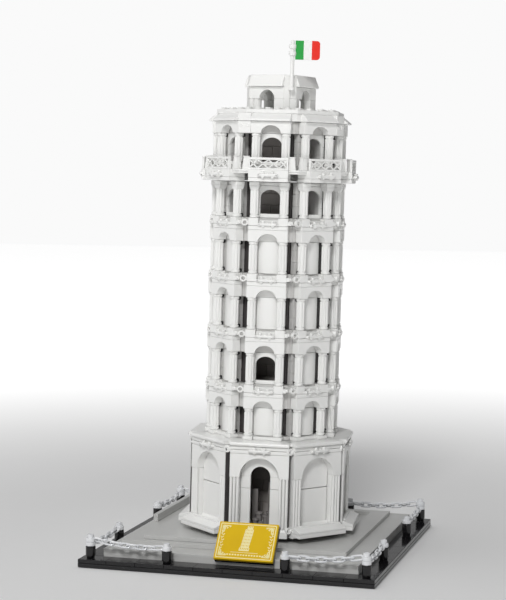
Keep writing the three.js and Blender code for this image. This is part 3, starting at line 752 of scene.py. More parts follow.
class BUILD_OT_block_tower_nameplate(bpy.types.Operator):
    """Makes the tilting nameplate and the bracket that holds it"""

    bl_idname = "block_tower.nameplate"
    bl_label = "Nameplate"

    def execute(self, context):
        tilt = joint("sign_tilt")
        leaning_back = Matrix.Rotation(math.radians(-37), 4, "X")
        place = Matrix.Translation(Vector(tilt["pos_m"])) @ leaning_back @ Matrix.Scale(MM, 4)
        black = finish("polished_black_abs")
        half, low, high = 24, -11.3, 20.7
        bm = bmesh.new()
        block(bm, -half, half, -6.2, -3, low, high, 0.35, 2)
        groove(bm, (1, 0, 0), [-8, 8], 0.2, 0.25)
        block(bm, -7, 7, -3.1, 0, -1.7, 1.7, 0.1)
        ring(bm, 2.8, 1.85, -7, 7, (0, 0, 0), 20, "X")
        piece("nameplate_back", bm, place, black, ["sign_back"], "sign")
        bm = bmesh.new()
        block(bm, -half, half, -9.4, -6.3, low, high, 0.4, 3)
        piece("nameplate_tile", bm, place, finish("gold_printed_tile"), ["sign_face"], "sign")
        bm = bmesh.new()
        self.print_on(bm)
        piece("nameplate_print", bm, place, finish("pale_gold_print"), [], "sign")
        bm = copy_of("sign_bracket", 0.25, 2)
        piece("nameplate_bracket", bm, PLAZA, black, ["sign_bracket"])
        return {"FINISHED"}

    def print_on(self, bm):
        """Frame lines, leaves in the corners and a small banded tower, a hair above the tile."""
        y0, y1 = -9.48, -9.2
        middle, wide, tall, line = 4.7, 22.3, 14.4, 0.75
        for side in (-1, 1):
            strut(bm, (side * wide, middle - tall), (side * wide, middle + tall), y0, y1, line)
            strut(bm, (-wide, middle + side * tall), (wide, middle + side * tall), y0, y1, line)
            for end in (-1, 1):
                self.leaves(bm, end * (wide - 1.6), middle + side * (tall - 1.6), end, side, y0, y1)
            # a chain of small leaves up each side
            for i in range(7):
                z = middle - 7.2 + 2.3 * i
                x = side * (wide - 1.9 - 0.7 * (i % 2))
                strut(bm, (x, z), (x - side * 1.5, z + 1.3), y0, y1, 0.7)
                strut(bm, (x, z), (x + side * 0.6, z + 1.5), y0, y1, 0.5)
        # the small tower, in courses
        levels, rise = 8, 2.65
        for i in range(levels):
            z = middle - 7.6 + i * rise
            lean = 0.3 * i - 0.6
            width = 8.2 if i == 0 else 6.8 if i < levels - 1 else 4.6
            strut(bm, (lean - width / 2, z), (lean + width / 2, z), y0, y1, 1.2)
            posts = 6 if i < levels - 1 else 4
            for j in range(posts):
                x = lean + (j / (posts - 1) - 0.5) * (width - 0.9)
                strut(bm, (x, z + 0.5), (x + 0.2, z + rise - 0.5), y0, y1, 0.8)
        # a plain rule and a broken one under it
        strut(bm, (-11, middle - 9.6), (11, middle - 9.6), y0, y1, 0.4)
        for i in range(15):
            x = -15.4 + 2.2 * i
            strut(bm, (x - 0.7, middle - 11.7), (x + 0.7, middle - 11.7), y0, y1, 1.1)

    def leaves(self, bm, x, z, end, side, y0, y1):
        """A spray of leaves in a corner of the frame."""
        for i, angle in enumerate((4, 24, 45, 66, 86)):
            a = math.radians(angle)
            length = (6.4, 4.6, 3.4, 4.6, 6.4)[i]
            tip = (x - end * length * math.cos(a), z - side * length * math.sin(a))
            strut(bm, (x, z), tip, y0, y1, 0.75)
            bud = (tip[0] + end * 0.9, tip[1] - side * 0.9)
            strut(bm, tip, bud, y0, y1, 0.7)


# ---------------------------------------------------------------- ground storey


def ground_bay(bm, door=False):
    """One side of the ground storey: two ridged piers and the arch that they carry."""
    half, span = GROUND_BAY / 2, 32.0
    front, back = GROUND_FRONT, GROUND_BACK
    arched(bm, GROUND_BAY, span, span / 2, GROUND_SPRING, 21 * PLATE, front, back, 0.25)
    for z in (21 * PLATE, 22 * PLATE):
        block(bm, -half, half, -front, -back, z + 0.15, z + PLATE - 0.15, 0.3)
    for side in (-1, 1):
        x = side * 20
        # the pier has three rounded ridges
        right = x + (3.3 if side > 0 else 3.9)
        block(bm, x - 3.9, right, -front + 2.6, -back, 7.6, GROUND_SPRING - 0.1, 0.15)
        for step in (-1, 0, 1):
            rod(bm, 1.2, 7.6, GROUND_SPRING - 0.1, (x + step * 2.7, -front + 1.3, 0), 14, edge=0.15)
        # its pedestal slopes back at the top
        ramp(bm, [(-front, 0.1), (-back, 0.1), (-back, 7.7), (-front + 1.6, 7.7), (-front, 5.4)],
             x - 4, x + 4, 0.25)
    if door:
        block(bm, -15.9, 15.9, -front, -back, 0.1, PLATE, 0.25)
    else:
        low = 0.1
        ramp(bm, [(-front + 0.4, low), (-back, low), (-back, 3 * PLATE + 1.4), (-front + 0.4, 2 * PLATE)],
             -15.9, 15.9, 0.25)
        block(bm, -17.5, 17.5, -front - 2.0, -front + 0.3, 2 * PLATE + 0.5, 3 * PLATE + 0.6, 0.3)


def skirt(bm):
    """The two stacked plates at the foot of a blind side, with a sloped top."""
    front = GROUND_FRONT
    ramp(bm, [(-front - 9, PLATE / 2), (-front + 0.1, PLATE / 2), (-front + 0.1, PLATE / 2 + PLATE - 0.1),
              (-front - 9, PLATE / 2 + PLATE - 0.1)], -24, 24, 0.25)
    z = PLATE / 2 + PLATE
    ramp(bm, [(-front - 8.9, z), (-front + 0.1, z), (-front + 0.1, 3 * PLATE), (-front - 8.9, z + 1.7)],
         -23.9, 23.9, 0.25)


def tooth_plate(bm, front, z, width=16.0):
    """The ornament in the middle of each side: a bar with teeth below and knobs above."""
    half = width / 2
    block(bm, -half, half, -front - 3.4, -front + 0.2, z, z + 2.1, 0.45, 2)
    for x in (-3.9, 3.9):
        tapered(bm, (x, -front - 1.9), (1.2, 1.8), (2.8, 3.0), z - 1.6, z + 0.1, 0.2)
        rod(bm, 1.35, z + 1.9, z + 4.0, (x, -front - 1.7, 0), 12, edge=0.5)
    tapered(bm, (0, -front - 1.5), (2.0, 1.6), (3.6, 2.6), z - 0.7, z + 0.1, 0.15)
    rod(bm, 1.0, z + 1.9, z + 2.9, (0, -front - 1.7, 0), 12, edge=0.3)
    for x in (-half + 0.9, half - 0.9):
        rod(bm, 1.3, -1.8, 1.8, (x, -front - 1.6, z + 0.9), 12, "Y", 0.4)


def knuckle(bm, front, z, half):
    """The hinge that holds two neighbouring sides together at a corner."""
    x = -half - 3.0
    ring(bm, 2.8, 1.5, -1.5, 1.5, (x, -front + 2.0, z), 16, "Y")
    block(bm, x + 2.2, -half + 0.4, -front + 0.7, -front + 3.3, z - 1.5, z + 1.5, 0.2)
    block(bm, half - 0.2, half + 2.4, -front + 0.4, -front + 3.6, z - 1.9, z + 1.5, 0.3)
    rod(bm, 1.5, 2.2, 3.8, (half, -front + 2.0, z), 12, "X")


class BUILD_OT_block_tower_ground(bpy.types.Operator):
    """Makes the ground storey: its arches, wall, cornice and the wedge that leans it"""

    bl_idname = "block_tower.ground"
    bl_label = "Ground storey"

    def execute(self, context):
        white = finish("gloss_white_abs")
        dark = finish("dark_grey_abs")
        bm = copy_of("tilt_wedge", 0.3)
        piece("wedge_moulded", bm, PLAZA, dark, ["tilt_wedge"])
        blind = kept(ground_bay)
        door = kept(ground_bay, door=True)
        foot = kept(skirt)
        bm = bmesh.new()
        all_round(bm, blind, which=range(1, SIDES))
        all_round(bm, door, which=[0])
        all_round(bm, foot, which=range(1, SIDES))
        piece("ground_arches", bm, TOWER, white, ["ground_arcade"])
        bm = bmesh.new()
        all_round(bm, kept(self.blind_wall), which=range(1, SIDES))
        all_round(bm, kept(self.door_wall), which=[0])
        piece("ground_walls", bm, TOWER, white, ["ground_wall"])
        bm = bmesh.new()
        all_round(bm, kept(self.cornice))
        octagon(bm, 60, GALLERY_1 - PLATE + 0.3, GALLERY_1 - 0.2, 0.2)
        piece("cornice_rounded", bm, TOWER, white, ["ground_cornice"])
        bm = bmesh.new()
        all_round(bm, kept(tooth_plate, GROUND_FRONT, 22 * PLATE - 1.4, 17.0))
        for z in (6.6, 70.2):
            all_round(bm, kept(knuckle, GROUND_FRONT - 1, z, GROUND_BAY / 2 - 0.4))
        piece("ground_ornaments", bm, TOWER, white)
        self.inside()
        return {"FINISHED"}

    def cornice(self, bm):
        """The rounded lip along the top of one side."""
        front, z = GROUND_FRONT + 2, GALLERY_1
        ramp(bm, [(-front + 0.5, z - PLATE + 0.1), (-48, z - PLATE + 0.1), (-48, z), (-front + 1.5, z),
                  (-front + 0.7, z - 0.25), (-front + 0.15, z - 0.8), (-front, z - 1.6),
                  (-front + 0.1, z - 2.5)], -24, 24, 0.3)

    def blind_wall(self, bm):
        """The closed panel behind an arch, in two parts, with a gap round it where the painted shade of the
        dark lining behind shows.
        """
        for side in (-1, 1):
            block(bm, side * 18.4 - 2.2, side * 18.4 + 2.2, -GROUND_BACK + 0.4, -51, 0.3, 73.3, 0.2)
        block(bm, -15.9, 15.2, -GROUND_BACK - 0.9, -51, 3 * PLATE, 37.8, 0.25)
        block(bm, -15.9, 15.2, -GROUND_BACK - 0.9, -51, 38.4, 70, 0.25)

    def door_wall(self, bm):
        """The wall that the door is in."""
        front, back = GROUND_BACK - 0.4, 51.0
        arched(bm, 31.8, 16, 8, GROUND_SPRING, 73.3, front, back, 0.2)
        for side in (-1, 1):
            x = side * 11.95
            block(bm, x - 3.95, x + 3.95, -front, -back, 0.3, 37.9, 0.2)
            block(bm, x - 3.95, x + 3.95, -front, -back, 38.2, GROUND_SPRING - 0.1, 0.2)
            block(bm, side * 18.2 - 2.2, side * 18.2 + 2.2, -front, -back, 0.3, 73.3, 0.2)

    def inside(self):
        """The dark lining, whose dark grey is painted shade inside the storey, with dark strips at the sides'
        right ends that paint the shade in the corner slits; the core, and the studded floor that the door
        opens on.
        """
        dark = finish("dark_grey_abs")
        bm = bmesh.new()
        all_round(bm, kept(lining_side, 50.6, 0.4, 73.2), which=range(1, SIDES))
        lining_side(bm, 50.6, 0.4, 73.2, (8.4, PLATE, GROUND_SPRING + 8.4))
        # thin dark strips at each side's right end: painted shade in the corner slits
        all_round(bm, kept(block, 24.05, 24.5, -63.4, -57, 0.4, 70.4, 0.1))
        piece("ground_lining", bm, TOWER, dark)
        bm = bmesh.new()
        courses(bm, 12, 0.4, 73.2)
        piece("ground_core", bm, BELFRY, finish("stone_grey_abs"), ["core_ground"])
        bm = bmesh.new()
        octagon(bm, 48.4, 0.4, PLATE, 0.1)
        for i in range(-3, 4):
            for j in range(3):
                stud(bm, i * STUD + STUD / 2, -44 + j * STUD, PLATE, steps=12)
        piece("ground_floor_studs", bm, TOWER, finish("gloss_white_abs"))
        bm = bmesh.new()
        # a pile of small fittings stands on the floor behind the door
        for x, y, radius, height in ((-5.2, -43, 2.0, 6.5), (-0.6, -44, 1.6, 4.2), (3.4, -42.5, 2.2, 9.5),
                                     (6.2, -45, 1.5, 13.0), (-2.8, -39, 2.6, 11.0)):
            rod(bm, radius, PLATE, PLATE + height, (x, y, 0), 14, edge=0.2)
            ring(bm, radius + 0.9, radius - 0.2, PLATE + height - 0.1, PLATE + height + 1.6, (x, y, 0), 16)
        block(bm, -9.5, -4.5, -36, -32, PLATE, 34, 0.3)
        block(bm, 3.5, 6.5, -34, -31, PLATE, 40, 0.3)
        piece("doorway_fittings", bm, TOWER, finish("clear_grey_abs"))


def lining_side(bm, apothem, low, high, hole=None):
    """One wall of a dark lining, whose dark grey is painted shade inside the tower, or the four strips round
    a hole given by its half-width and its two heights."""
    half = apothem * math.tan(math.pi / SIDES)
    walls = [(-half, half, low, high)]
    if hole:
        reach, z0, z1 = hole
        walls = [(-half, -reach, low, high), (reach, half, low, high)]
        walls += [(-reach, reach, low, z0), (-reach, reach, z1, high)]
    for x0, x1, z0, z1 in walls:
        if z1 - z0 > 0.1:
            block(bm, x0, x1, -apothem, -apothem + 2, z0, z1, 0.03)


def courses(bm, half, z0, z1):
    """A square core laid in courses, whose joints alternate."""
    count = max(1, round((z1 - z0) / BRICK))
    height = (z1 - z0) / count
    for i in range(count):
        z = z0 + i * height
        split = 0 if i % 2 else STUD
        for x0, x1 in ((-half, split - 0.1), (split + 0.1, half)):
            block(bm, x0, x1, -half, half, z + 0.08, z + height - 0.08, 0.2)


# ---------------------------------------------------------------- galleries


@shape
def shaft(bm, radius, flutes, z0, z1, x, y):
    """A fluted column shaft."""
    steps = flutes * 3
    bmesh.ops.create_circle(bm, cap_ends=True, segments=steps, radius=radius,
                            matrix=Matrix.Translation((0, 0, z0)))
    for i, v in enumerate(list(bm.verts)):
        if i % 3 == 0:
            v.co.xy *= 1 - 0.6 / radius
    bm.faces.ensure_lookup_table()
    grown = bmesh.ops.extrude_face_region(bm, geom=[bm.faces[-1]])["geom"]
    top = [g for g in grown if isinstance(g, bmesh.types.BMVert)]
    bmesh.ops.translate(bm, vec=(0, 0, z1 - z0), verts=top)
    bmesh.ops.recalc_face_normals(bm, faces=bm.faces)
    bmesh.ops.translate(bm, vec=(x, y, 0), verts=bm.verts)


def column(bm, radius, flutes, z0, z1, x, y, flared=False):
    """A column with a ring at its foot and at its head, or a flared square head."""
    rod(bm, 3.65, z0 + 0.05, z0 + 2.3, (x, y, 0), 24, edge=0.45)
    rod(bm, 3.0, z0 + 2.2, z0 + PLATE, (x, y, 0), 24, edge=0.1)
    head = 6.4 if flared else PLATE
    shaft(bm, radius, flutes, z0 + PLATE - 0.1, z1 - head + 0.1, x, y)
    if flared:
        tapered(bm, (x, y), (6.2, 6.2), (7.8, 7.8), z1 - head, z1 - PLATE, 0.25)
        block(bm, x - 4, x + 4, y - 4, y + 4, z1 - PLATE + 0.05, z1 - 0.05, 0.3)
    else:
        rod(bm, 3.0, z1 - head, z1 - 2.2, (x, y, 0), 24, edge=0.1)
        rod(bm, 3.65, z1 - 2.3, z1 - 0.05, (x, y, 0), 24, edge=0.45)


def gallery_bay(bm, floor, plinth, top, head, radius, flutes, flared=False):
    """One side of a gallery: two columns on a plinth, and the arch over them."""
    front, back = GALLERY_FRONT, GALLERY_BACK
    half = BAY / 2
    for side in (-1, 1):
        x = side * 12
        block(bm, x - 4, x + 4, -front, -back, floor + 0.1, plinth - 0.05, 0.3)
        column(bm, radius, flutes, plinth, top, x, -50, flared)
    block(bm, -7.9, 7.9, -front + 3.2, -back, floor + 0.1, max(floor + 2.6, plinth - 1.6), 0.25)
    if head:
        arched(bm, BAY, 16, 6.4, top, top + BRICK - 0.1, front, back, 0.25)
        if head > BRICK:
            block(bm, -half, half, -front, -back, top + BRICK, top + head - 0.1, 0.25)


def ties(bm, floor, plinth, top, head):
    """The courses that tie one side to the next, below and above the columns. Their pale grey is painted
    shade on white courses.
    """
    block(bm, -18.7, 18.7, -45.6, -39.4, floor + 0.15, plinth - 0.1, 0.2)
    if head:
        block(bm, -18.7, 18.7, -45.6, -39.4, top + 0.1, top + head - 0.15, 0.2)


def slit_wall(bm, plinth, top, window):
    """The wall behind one side, in courses, whose pale grey is painted shade on a white wall. It stops short
    of the next side's wall and leaves a dark slit, where the painted shade of the dark lining behind shows,
    and a window goes through it."""
    left, right = -15.3, 9.0
    # a fin beside the window closes off the view through the slit
    if window:
        block(bm, 8.2, 9.0, -39.5, -30, plinth, top, 0.05)
    parts = ((left, -8.2), (8.2, right)) if window else ((left, right),)
    z = plinth
    while z < top - 0.5:
        end = min(z + BRICK, top)
        for x0, x1 in parts if z < plinth + 5 * PLATE + 6 else ((left, right),):
            block(bm, x0, x1, -44.7, -39.4, z + 0.05, end - 0.05, 0.2)
        z = end


def panel_wall(bm, plinth, top, bow):
    """A closed panel behind two columns, slightly bowed, with the darker recess over it."""
    back = GALLERY_BACK
    bowed(bm, 8.4, -back + 0.9, -44.0, plinth + 0.1, top - 0.1, bow)
    block(bm, -8.2, 8.2, -back + 0.35, -45.5, top + 0.1, top + 6.5, 0.03)


def window_wall(bm, plinth, top, lintel=False):
    """A wall with a window behind two columns: jambs, an arch over them, and the wall above."""
    back = GALLERY_BACK
    spring = plinth + 5 * PLATE
    crown = spring + BRICK
    arched(bm, 21, 15.9, 6.4, spring + 0.05, min(crown, top) - 0.05, back - 0.6, 43.0, 0.2)
    for side in (-1, 1):
        for z in (0, 8):
            x = side * 9.2
            block(bm, x - 1.2, x + 1.2, -back + 0.6, -43, plinth + z + 0.1, plinth + z + 8 - 0.05, 0.2)
    block(bm, -7.9, 7.9, -back + 0.6, -43, plinth + 0.1, plinth + PLATE, 0.2)
    if crown < top:
        block(bm, -10.5, 10.5, -back + (1.2 if lintel else 0.6), -43, crown + 0.1, top - 0.1, 0.2)


def storeys():
    """Each gallery's floor, plinth top, column top, head and the sides with a window."""
    every = range(SIDES)
    return [
        (GALLERY_1, PLATE, COLUMN - PLATE, HEAD, []),
        (GALLERY_2, PLINTH, COLUMN, HEAD, [0, 4]),
        (GALLERY_2 + PITCH, PLINTH, COLUMN, HEAD, []),
        (GALLERY_2 + 2 * PITCH, PLINTH, COLUMN, HEAD, []),
        (GALLERY_5, PLINTH, TALL_COLUMN - 0.3, 0, every),
        (BALCONY_FLOOR, PLATE, TALL_COLUMN - PLATE, BRICK, every),
    ]


class BUILD_OT_block_tower_galleries(bpy.types.Operator):
    """Makes the six open galleries, with their columns, arches, walls and windows"""

    bl_idname = "block_tower.galleries"
    bl_label = "Galleries"

    def execute(self, context):
        settings = context.scene.block_tower
        radius, bow = settings.shaft / MM, settings.bow / MM
        white = finish("gloss_white_abs")
        hole_shade_pins = bmesh.new()
        ornaments = bmesh.new()
        lining = bmesh.new()
        recess = bmesh.new()
        for i, (floor, plinth_height, height, head, windows) in enumerate(storeys()):
            name = f"gallery_{i + 1}"
            plinth = floor + plinth_height
            top = plinth + height
            flared = i == 4
            bm = bmesh.new()
            all_round(bm, kept(gallery_bay, floor, plinth, top, head, radius, settings.flutes, flared))
            if i == 5:
                corner = kept(corner_block, top, head)
                for n in range(4):
                    stamp(bm, corner, Matrix.Rotation(math.radians(BELFRY_TURN + 90 * n), 4, "Z"))
            piece(f"{name}_colonnade", bm, TOWER, white, [f"{name}_arcade"])
            bm = bmesh.new()
            closed = [k for k in range(SIDES) if k not in windows]
            all_round(bm, kept(panel_wall, plinth, top, bow), which=closed)
            if windows:
                all_round(bm, kept(window_wall, plinth, top, i == 4), which=windows)
            piece(f"{name}_panels", bm, TOWER, white, [f"{name}_wall"])
            self.line(lining, floor, plinth, top + (head or 0), windows)
            for k in range(SIDES):
                stamp(recess, kept(slit_wall, plinth, top, k in windows), facet(k))
            all_round(recess, kept(ties, floor, plinth, top, head))
            all_round(hole_shade_pins, kept(radial_hole_shade_pins, plinth, top))
            if i not in (0, 5):
                all_round(ornaments, kept(tooth_plate, GALLERY_FRONT - 1.4, floor + 0.2))
            if head > BRICK:
                all_round(ornaments, kept(knuckle, GALLERY_FRONT, top + head + 2.6, BAY / 2))
        # the slit walls and ties are white, and their pale grey is painted shade in the recesses
        piece("gallery_recess_walls", recess, TOWER, finish("pale_grey_abs"))
        piece("gallery_ornaments", ornaments, TOWER, white)
        # black rods at each column's foot and head: painted shade in the holes there
        piece("gallery_pins", hole_shade_pins, TOWER, finish("black_pin_abs"))
        stone = finish("stone_grey_abs")
        # the lining's dark grey is painted shade, seen through the slits and windows
        piece("gallery_lining", lining, TOWER, finish("dark_grey_abs"))
        bm = bmesh.new()
        courses(bm, 12, GALLERY_1 + 0.3, BALCONY_BOTTOM - 0.3)
        piece("core_lower_courses", bm, BELFRY, stone, ["core_lower"])
        bm = bmesh.new()
        courses(bm, 12, BALCONY_FLOOR + 0.3, ROOF_BOTTOM - 0.3)
        piece("core_upper_courses", bm, BELFRY, stone, ["core_upper"])
        return {"FINISHED"}

    def line(self, bm, floor, plinth, top, windows):
        """The dark lining of one gallery, whose dark grey is painted shade inside the tower, open behind its
        windows.
        """
        low, high = floor + 0.4, top - 0.4
        closed = [k for k in range(SIDES) if k not in windows]
        all_round(bm, kept(lining_side, LINING, low, high), which=closed)
        hole = (9.0, plinth + 1.0, min(plinth + 24.0, high))
        all_round(bm, kept(lining_side, LINING, low, high, hole), which=windows)


def corner_block(bm, top, head):
    """The block that fills a corner between two arches under the roof."""
    block(bm, -5.8, 5.8, -56.4, -46, top - 0.1, top + head - 0.2, 0.3)
    for x in (-3, 3):
        ring(bm, 1.7, 1.0, -0.2, 0.6, (x, -56.2, top + head - 3.4), 12, "Y")


def radial_hole_shade_pins(bm, plinth, top):
    """The small black rods between each column and the wall, at its foot and at its head. Their black is
    painted shade in the holes there.
    """
    for x in (-12, 12):
        for z in (plinth + 1.7, top - 1.7):
            rod(bm, 1.5, 44.5, 48.0, (x, 0, z), 12, "Y")


# ---------------------------------------------------------------- balcony and roof


def balcony_bay(bm):
    """One side of the balcony: its apron, its lattice rail, and a post on a ledge at each end."""
    front, z = BALCONY_FRONT, BALCONY_FLOOR
    half = BAY / 2
    middle = BALCONY_BOTTOM + PLATE
    for low, high in ((BALCONY_BOTTOM + 0.05, middle), (middle + 0.1, z - 0.05)):
        block(bm, -half, half, -front, -GALLERY_BACK, low, high, 0.3)
    # frame of the rail
    block(bm, -half, half, -front + 0.1, -front + 2, z, z + 1.4, 0.15)
    block(bm, -half, half, -front - 0.1, -front + 2.2, z + BRICK - 1.9, z + BRICK, 0.4, 2)
    for side in (-1, 1):
        x = side * (half - 0.7)
        block(bm, x - 0.7, x + 0.7, -front, -front + 2, z + 1, z + BRICK - 1, 0.15)
    pitch, low, high = 8.6, z + 1.2, z + BRICK - 1.7
    for i in range(4):
        x = (i - 1.5) * pitch
        a, b = max(x - pitch / 2, -half + 0.6), min(x + pitch / 2, half - 0.6)
        strut(bm, (a, low), (b, high), -front + 0.5, -front + 1.5, 0.95)
        strut(bm, (a, high), (b, low), -front + 0.5, -front + 1.5, 0.95)
    # a post stands on a ledge in each corner
    for side in (-1, 1):
        x = side * 18.4
        block(bm, side * 20 - 4.2, side * 20 + 4.2, -59, -50, z - 1.6, z + 0.1, 0.25)
        tapered(bm, (x, -56), (6.0, 5.0), (4.4, 4.0), z + 0.1, z + 9.8, 0.3)
        block(bm, x - 2.5, x + 2.5, -58.2, -53.6, z + 9.6, z + 10.5, 0.25)


class BUILD_OT_block_tower_balcony(bpy.types.Operator):
    """Makes the balcony with its lattice rails"""

    bl_idname = "block_tower.balcony"
    bl_label = "Balcony"

    def execute(self, context):
        bm = bmesh.new()
        octagon(bm, 58, BALCONY_FLOOR - PLATE, BALCONY_FLOOR - 0.1, 0.3)
        all_round(bm, kept(balcony_bay))
        all_round(bm, kept(tooth_plate, BALCONY_FRONT, BALCONY_BOTTOM + 4.2))
        piece("balcony_rails", bm, TOWER, finish("gloss_white_abs"), ["balcony"])
        return {"FINISHED"}


def eave(bm):
    """The sloped block over one side, under the roof deck."""
    ramp(bm, [(-57, ROOF_BOTTOM + 0.1), (-46, ROOF_BOTTOM + 0.1), (-46, ROOF_BOTTOM + ROOF_SLOPE),
              (-50.5, ROOF_BOTTOM + ROOF_SLOPE), (-57, ROOF_BOTTOM + 1.5)], -BAY / 2, BAY / 2, 0.3)


class BUILD_OT_block_tower_roof(bpy.types.Operator):
    """Makes the sloped eaves and the studded roof deck"""

    bl_idname = "block_tower.roof"
    bl_label = "Roof deck"

    def execute(self, context):
        bm = bmesh.new()
        all_round(bm, kept(eave))
        octagon(bm, 49, ROOF_BOTTOM + 0.3, ROOF_BOTTOM + ROOF_SLOPE, 0.2)
        octagon(bm, ROOF_EDGE, ROOF_BOTTOM + ROOF_SLOPE + 0.05, ROOF_TOP, 0.35, steps=2)
        for k in range(4):
            stamp(bm, kept(self.corner), Matrix.Rotation(math.radians(BELFRY_TURN + 90 * k), 4, "Z"))
        reach = range(-6, 6)
        for i in reach:
            for j in reach:
                x, y = (i + 0.5) * STUD, (j + 0.5) * STUD
                inside = max(abs(x), abs(y), (abs(x) + abs(y)) / math.sqrt(2)) < ROOF_EDGE - 4
                turned = Vector((x, y)).to_3d()
                turned.rotate(Matrix.Rotation(math.radians(-BELFRY_TURN), 3, "Z"))
                beyond = max(abs(turned.x), abs(turned.y)) > 29
                if inside and beyond:
                    stud(bm, x, y, ROOF_TOP, True)
        piece("roof_deck_studded", bm, TOWER, finish("gloss_white_abs"), ["roof_deck"])
        return {"FINISHED"}

    def corner(self, bm):
        """The upright block at a corner of the roof."""
        block(bm, -5.9, 5.9, -56.4, -48, ROOF_BOTTOM + 0.1, ROOF_BOTTOM + ROOF_SLOPE, 0.3)


# ---------------------------------------------------------------- belfry


def belfry_face(bm):
    """One side of the belfry: an arch on a round column and a square one."""
    front, back = BELFRY_FRONT, BELFRY_FRONT - 6
    arched(bm, BAY, 14, 7.0, BELFRY_SPRING, BELFRY_EAVE - 0.05, front, back, 0.25, point=0.25)
    foot = ROOF_TOP + 0.1
    rod(bm, 3.9, foot, foot + 2, (-11, -front + 4, 0), 24, edge=0.35)
    rod(bm, 3.4, foot + 1.9, BELFRY_SPRING, (-11, -front + 4, 0), 24, edge=0.1)
    block(bm, -16, -13, -front, -back, foot, BELFRY_SPRING, 0.25)
    block(bm, 7, 16, -front, -back, foot, BELFRY_SPRING - 0.05, 0.25)


def belfry_slope(bm):
    """The sloped block over one side of the belfry, with its lip."""
    z = BELFRY_EAVE
    ramp(bm, [(-26.2, z + 0.1), (-16, z + 0.1), (-16, BELFRY_TOP), (-22.6, BELFRY_TOP), (-26.2, z + 1.6)],
         -16, 16, 0.3)


def belfry_corner(bm):
    """The two upright strips across a corner of the belfry."""
    out = (BELFRY_FRONT + 16) / math.sqrt(2)
    foot = ROOF_TOP + 0.1
    block(bm, -5, -0.1, -out, -out + 6, foot, BELFRY_EAVE + PLATE, 0.25)
    block(bm, 0.1, 5, -out - 0.4, -out + 6, foot + 9.6, BELFRY_TOP - 1.6, 0.25)
    block(bm, 0.1, 5, -out, -out + 6, foot, foot + 9.5, 0.25)


@shape
def chamfered(bm, face, corner, z0, z1, edge=0.3, top=1.0):
    """A square slab with its corners cut off, given by its two half-widths. Top is how much
    smaller it is there."""
    verts = bmesh.ops.create_cube(bm, size=2 * face)["verts"]
    bmesh.ops.scale(bm, vec=(1, 1, (z1 - z0) / (2 * face)), verts=verts)
    bmesh.ops.translate(bm, vec=(0, 0, (z0 + z1) / 2), verts=verts)
    uprights = {e for v in verts for e in v.link_edges if abs(e.verts[0].co.z - e.verts[1].co.z) > 0.1}
    bmesh.ops.bevel(
        bm, geom=list(uprights), offset=2 * face - corner * math.sqrt(2), offset_type="OFFSET",
        segments=1, profile=0.5, affect="EDGES", material=-1,
    )
    high = [v for v in bm.verts if v.co.z > (z0 + z1) / 2]
    bmesh.ops.scale(bm, vec=(top, top, 1), verts=high)
    soften(bm, bm.verts, edge)


class BUILD_OT_block_tower_belfry(bpy.types.Operator):
    """Makes the belfry that stands on the roof deck"""

    bl_idname = "block_tower.belfry"
    bl_label = "Belfry"

    def execute(self, context):
        white = finish("gloss_white_abs")
        bm = bmesh.new()
        all_round(bm, kept(belfry_face), 4)
        corner = kept(belfry_corner)
        for k in range(4):
            stamp(bm, corner, Matrix.Rotation(math.radians(45 + 90 * k), 4, "Z"))
        piece("belfry_arches", bm, BELFRY, white, ["belfry_arcade"])
        bm = bmesh.new()
        chamfered(bm, 22.5, 27.4, BELFRY_EAVE + 0.1, BELFRY_TOP - 0.2, 0.35)
        all_round(bm, kept(belfry_slope), 4)
        piece("belfry_lid", bm, BELFRY, white, ["belfry_roof"])
        return {"FINISHED"}


# ---------------------------------------------------------------- flag


class BUILD_OT_block_tower_flag(bpy.types.Operator):
    """Makes the flagpole and the flag that turns on it"""

    bl_idname = "block_tower.flag"
    bl_label = "Flag"

    def execute(self, context):
        swivel = joint("flag_swivel")
        foot = TOWER.inverted() @ Vector(swivel["pos_m"])
        heading = TOWER @ Matrix.Translation(foot) @ Matrix.Rotation(math.radians(9), 4, "Z")
        angle = math.atan2(foot.y, foot.x)
        bm = bmesh.new()
        rod(bm, 1.6, 0, 40, steps=20, edge=0.3)
        rod(bm, 2.3, 0, 3, steps=20, edge=0.3)
        arm = kept(block, -1.6, 3.9, -1.6, 1.6, 0, 2.9)
        stamp(bm, arm, Matrix.Rotation(angle + math.pi, 4, "Z"))
        piece("flagpole_bar", bm, TOWER @ Matrix.Translation(foot), finish("gloss_white_abs"),
              ["flagpole"])
        bm = bmesh.new()
        outline(bm, self.cloth(), 0.8, -0.8, 0.2)
        start = heading @ Vector((2.4, 0, 0))
        direction = (heading.to_3x3() @ Vector((1, 0, 0))).normalized()
        stripes = printed_stripes("printed_flag_abs", ["#1F9E3D", "#F2F1EF", "#E8220E"], start, direction,
                                  (22 - 2.4) * MM)
        piece("flag_cloth", bm, heading, stripes, ["flag"], "flag")
        bm = bmesh.new()
        for z in (28.0, 33.6):
            ring(bm, 3.0, 1.8, z, z + PLATE, steps=20)
        piece("flag_clips", bm, heading, finish("gloss_white_abs"), [], "flag")
        return {"FINISHED"}

    def cloth(self):
        """The outline of the flag, with its two free corners rounded."""
        points = [(2.2, 24.8)]
        radius = 2.6
        for x, z, start in ((22 - radius, 24.8 + radius, -90), (22 - radius, 40 - radius, 0)):
            for i in range(6):
                a = math.radians(start + 18 * i)
                points.append((x + radius * math.cos(a), z + radius * math.sin(a)))
        return points + [(2.2, 40)]


# ---------------------------------------------------------------- stage


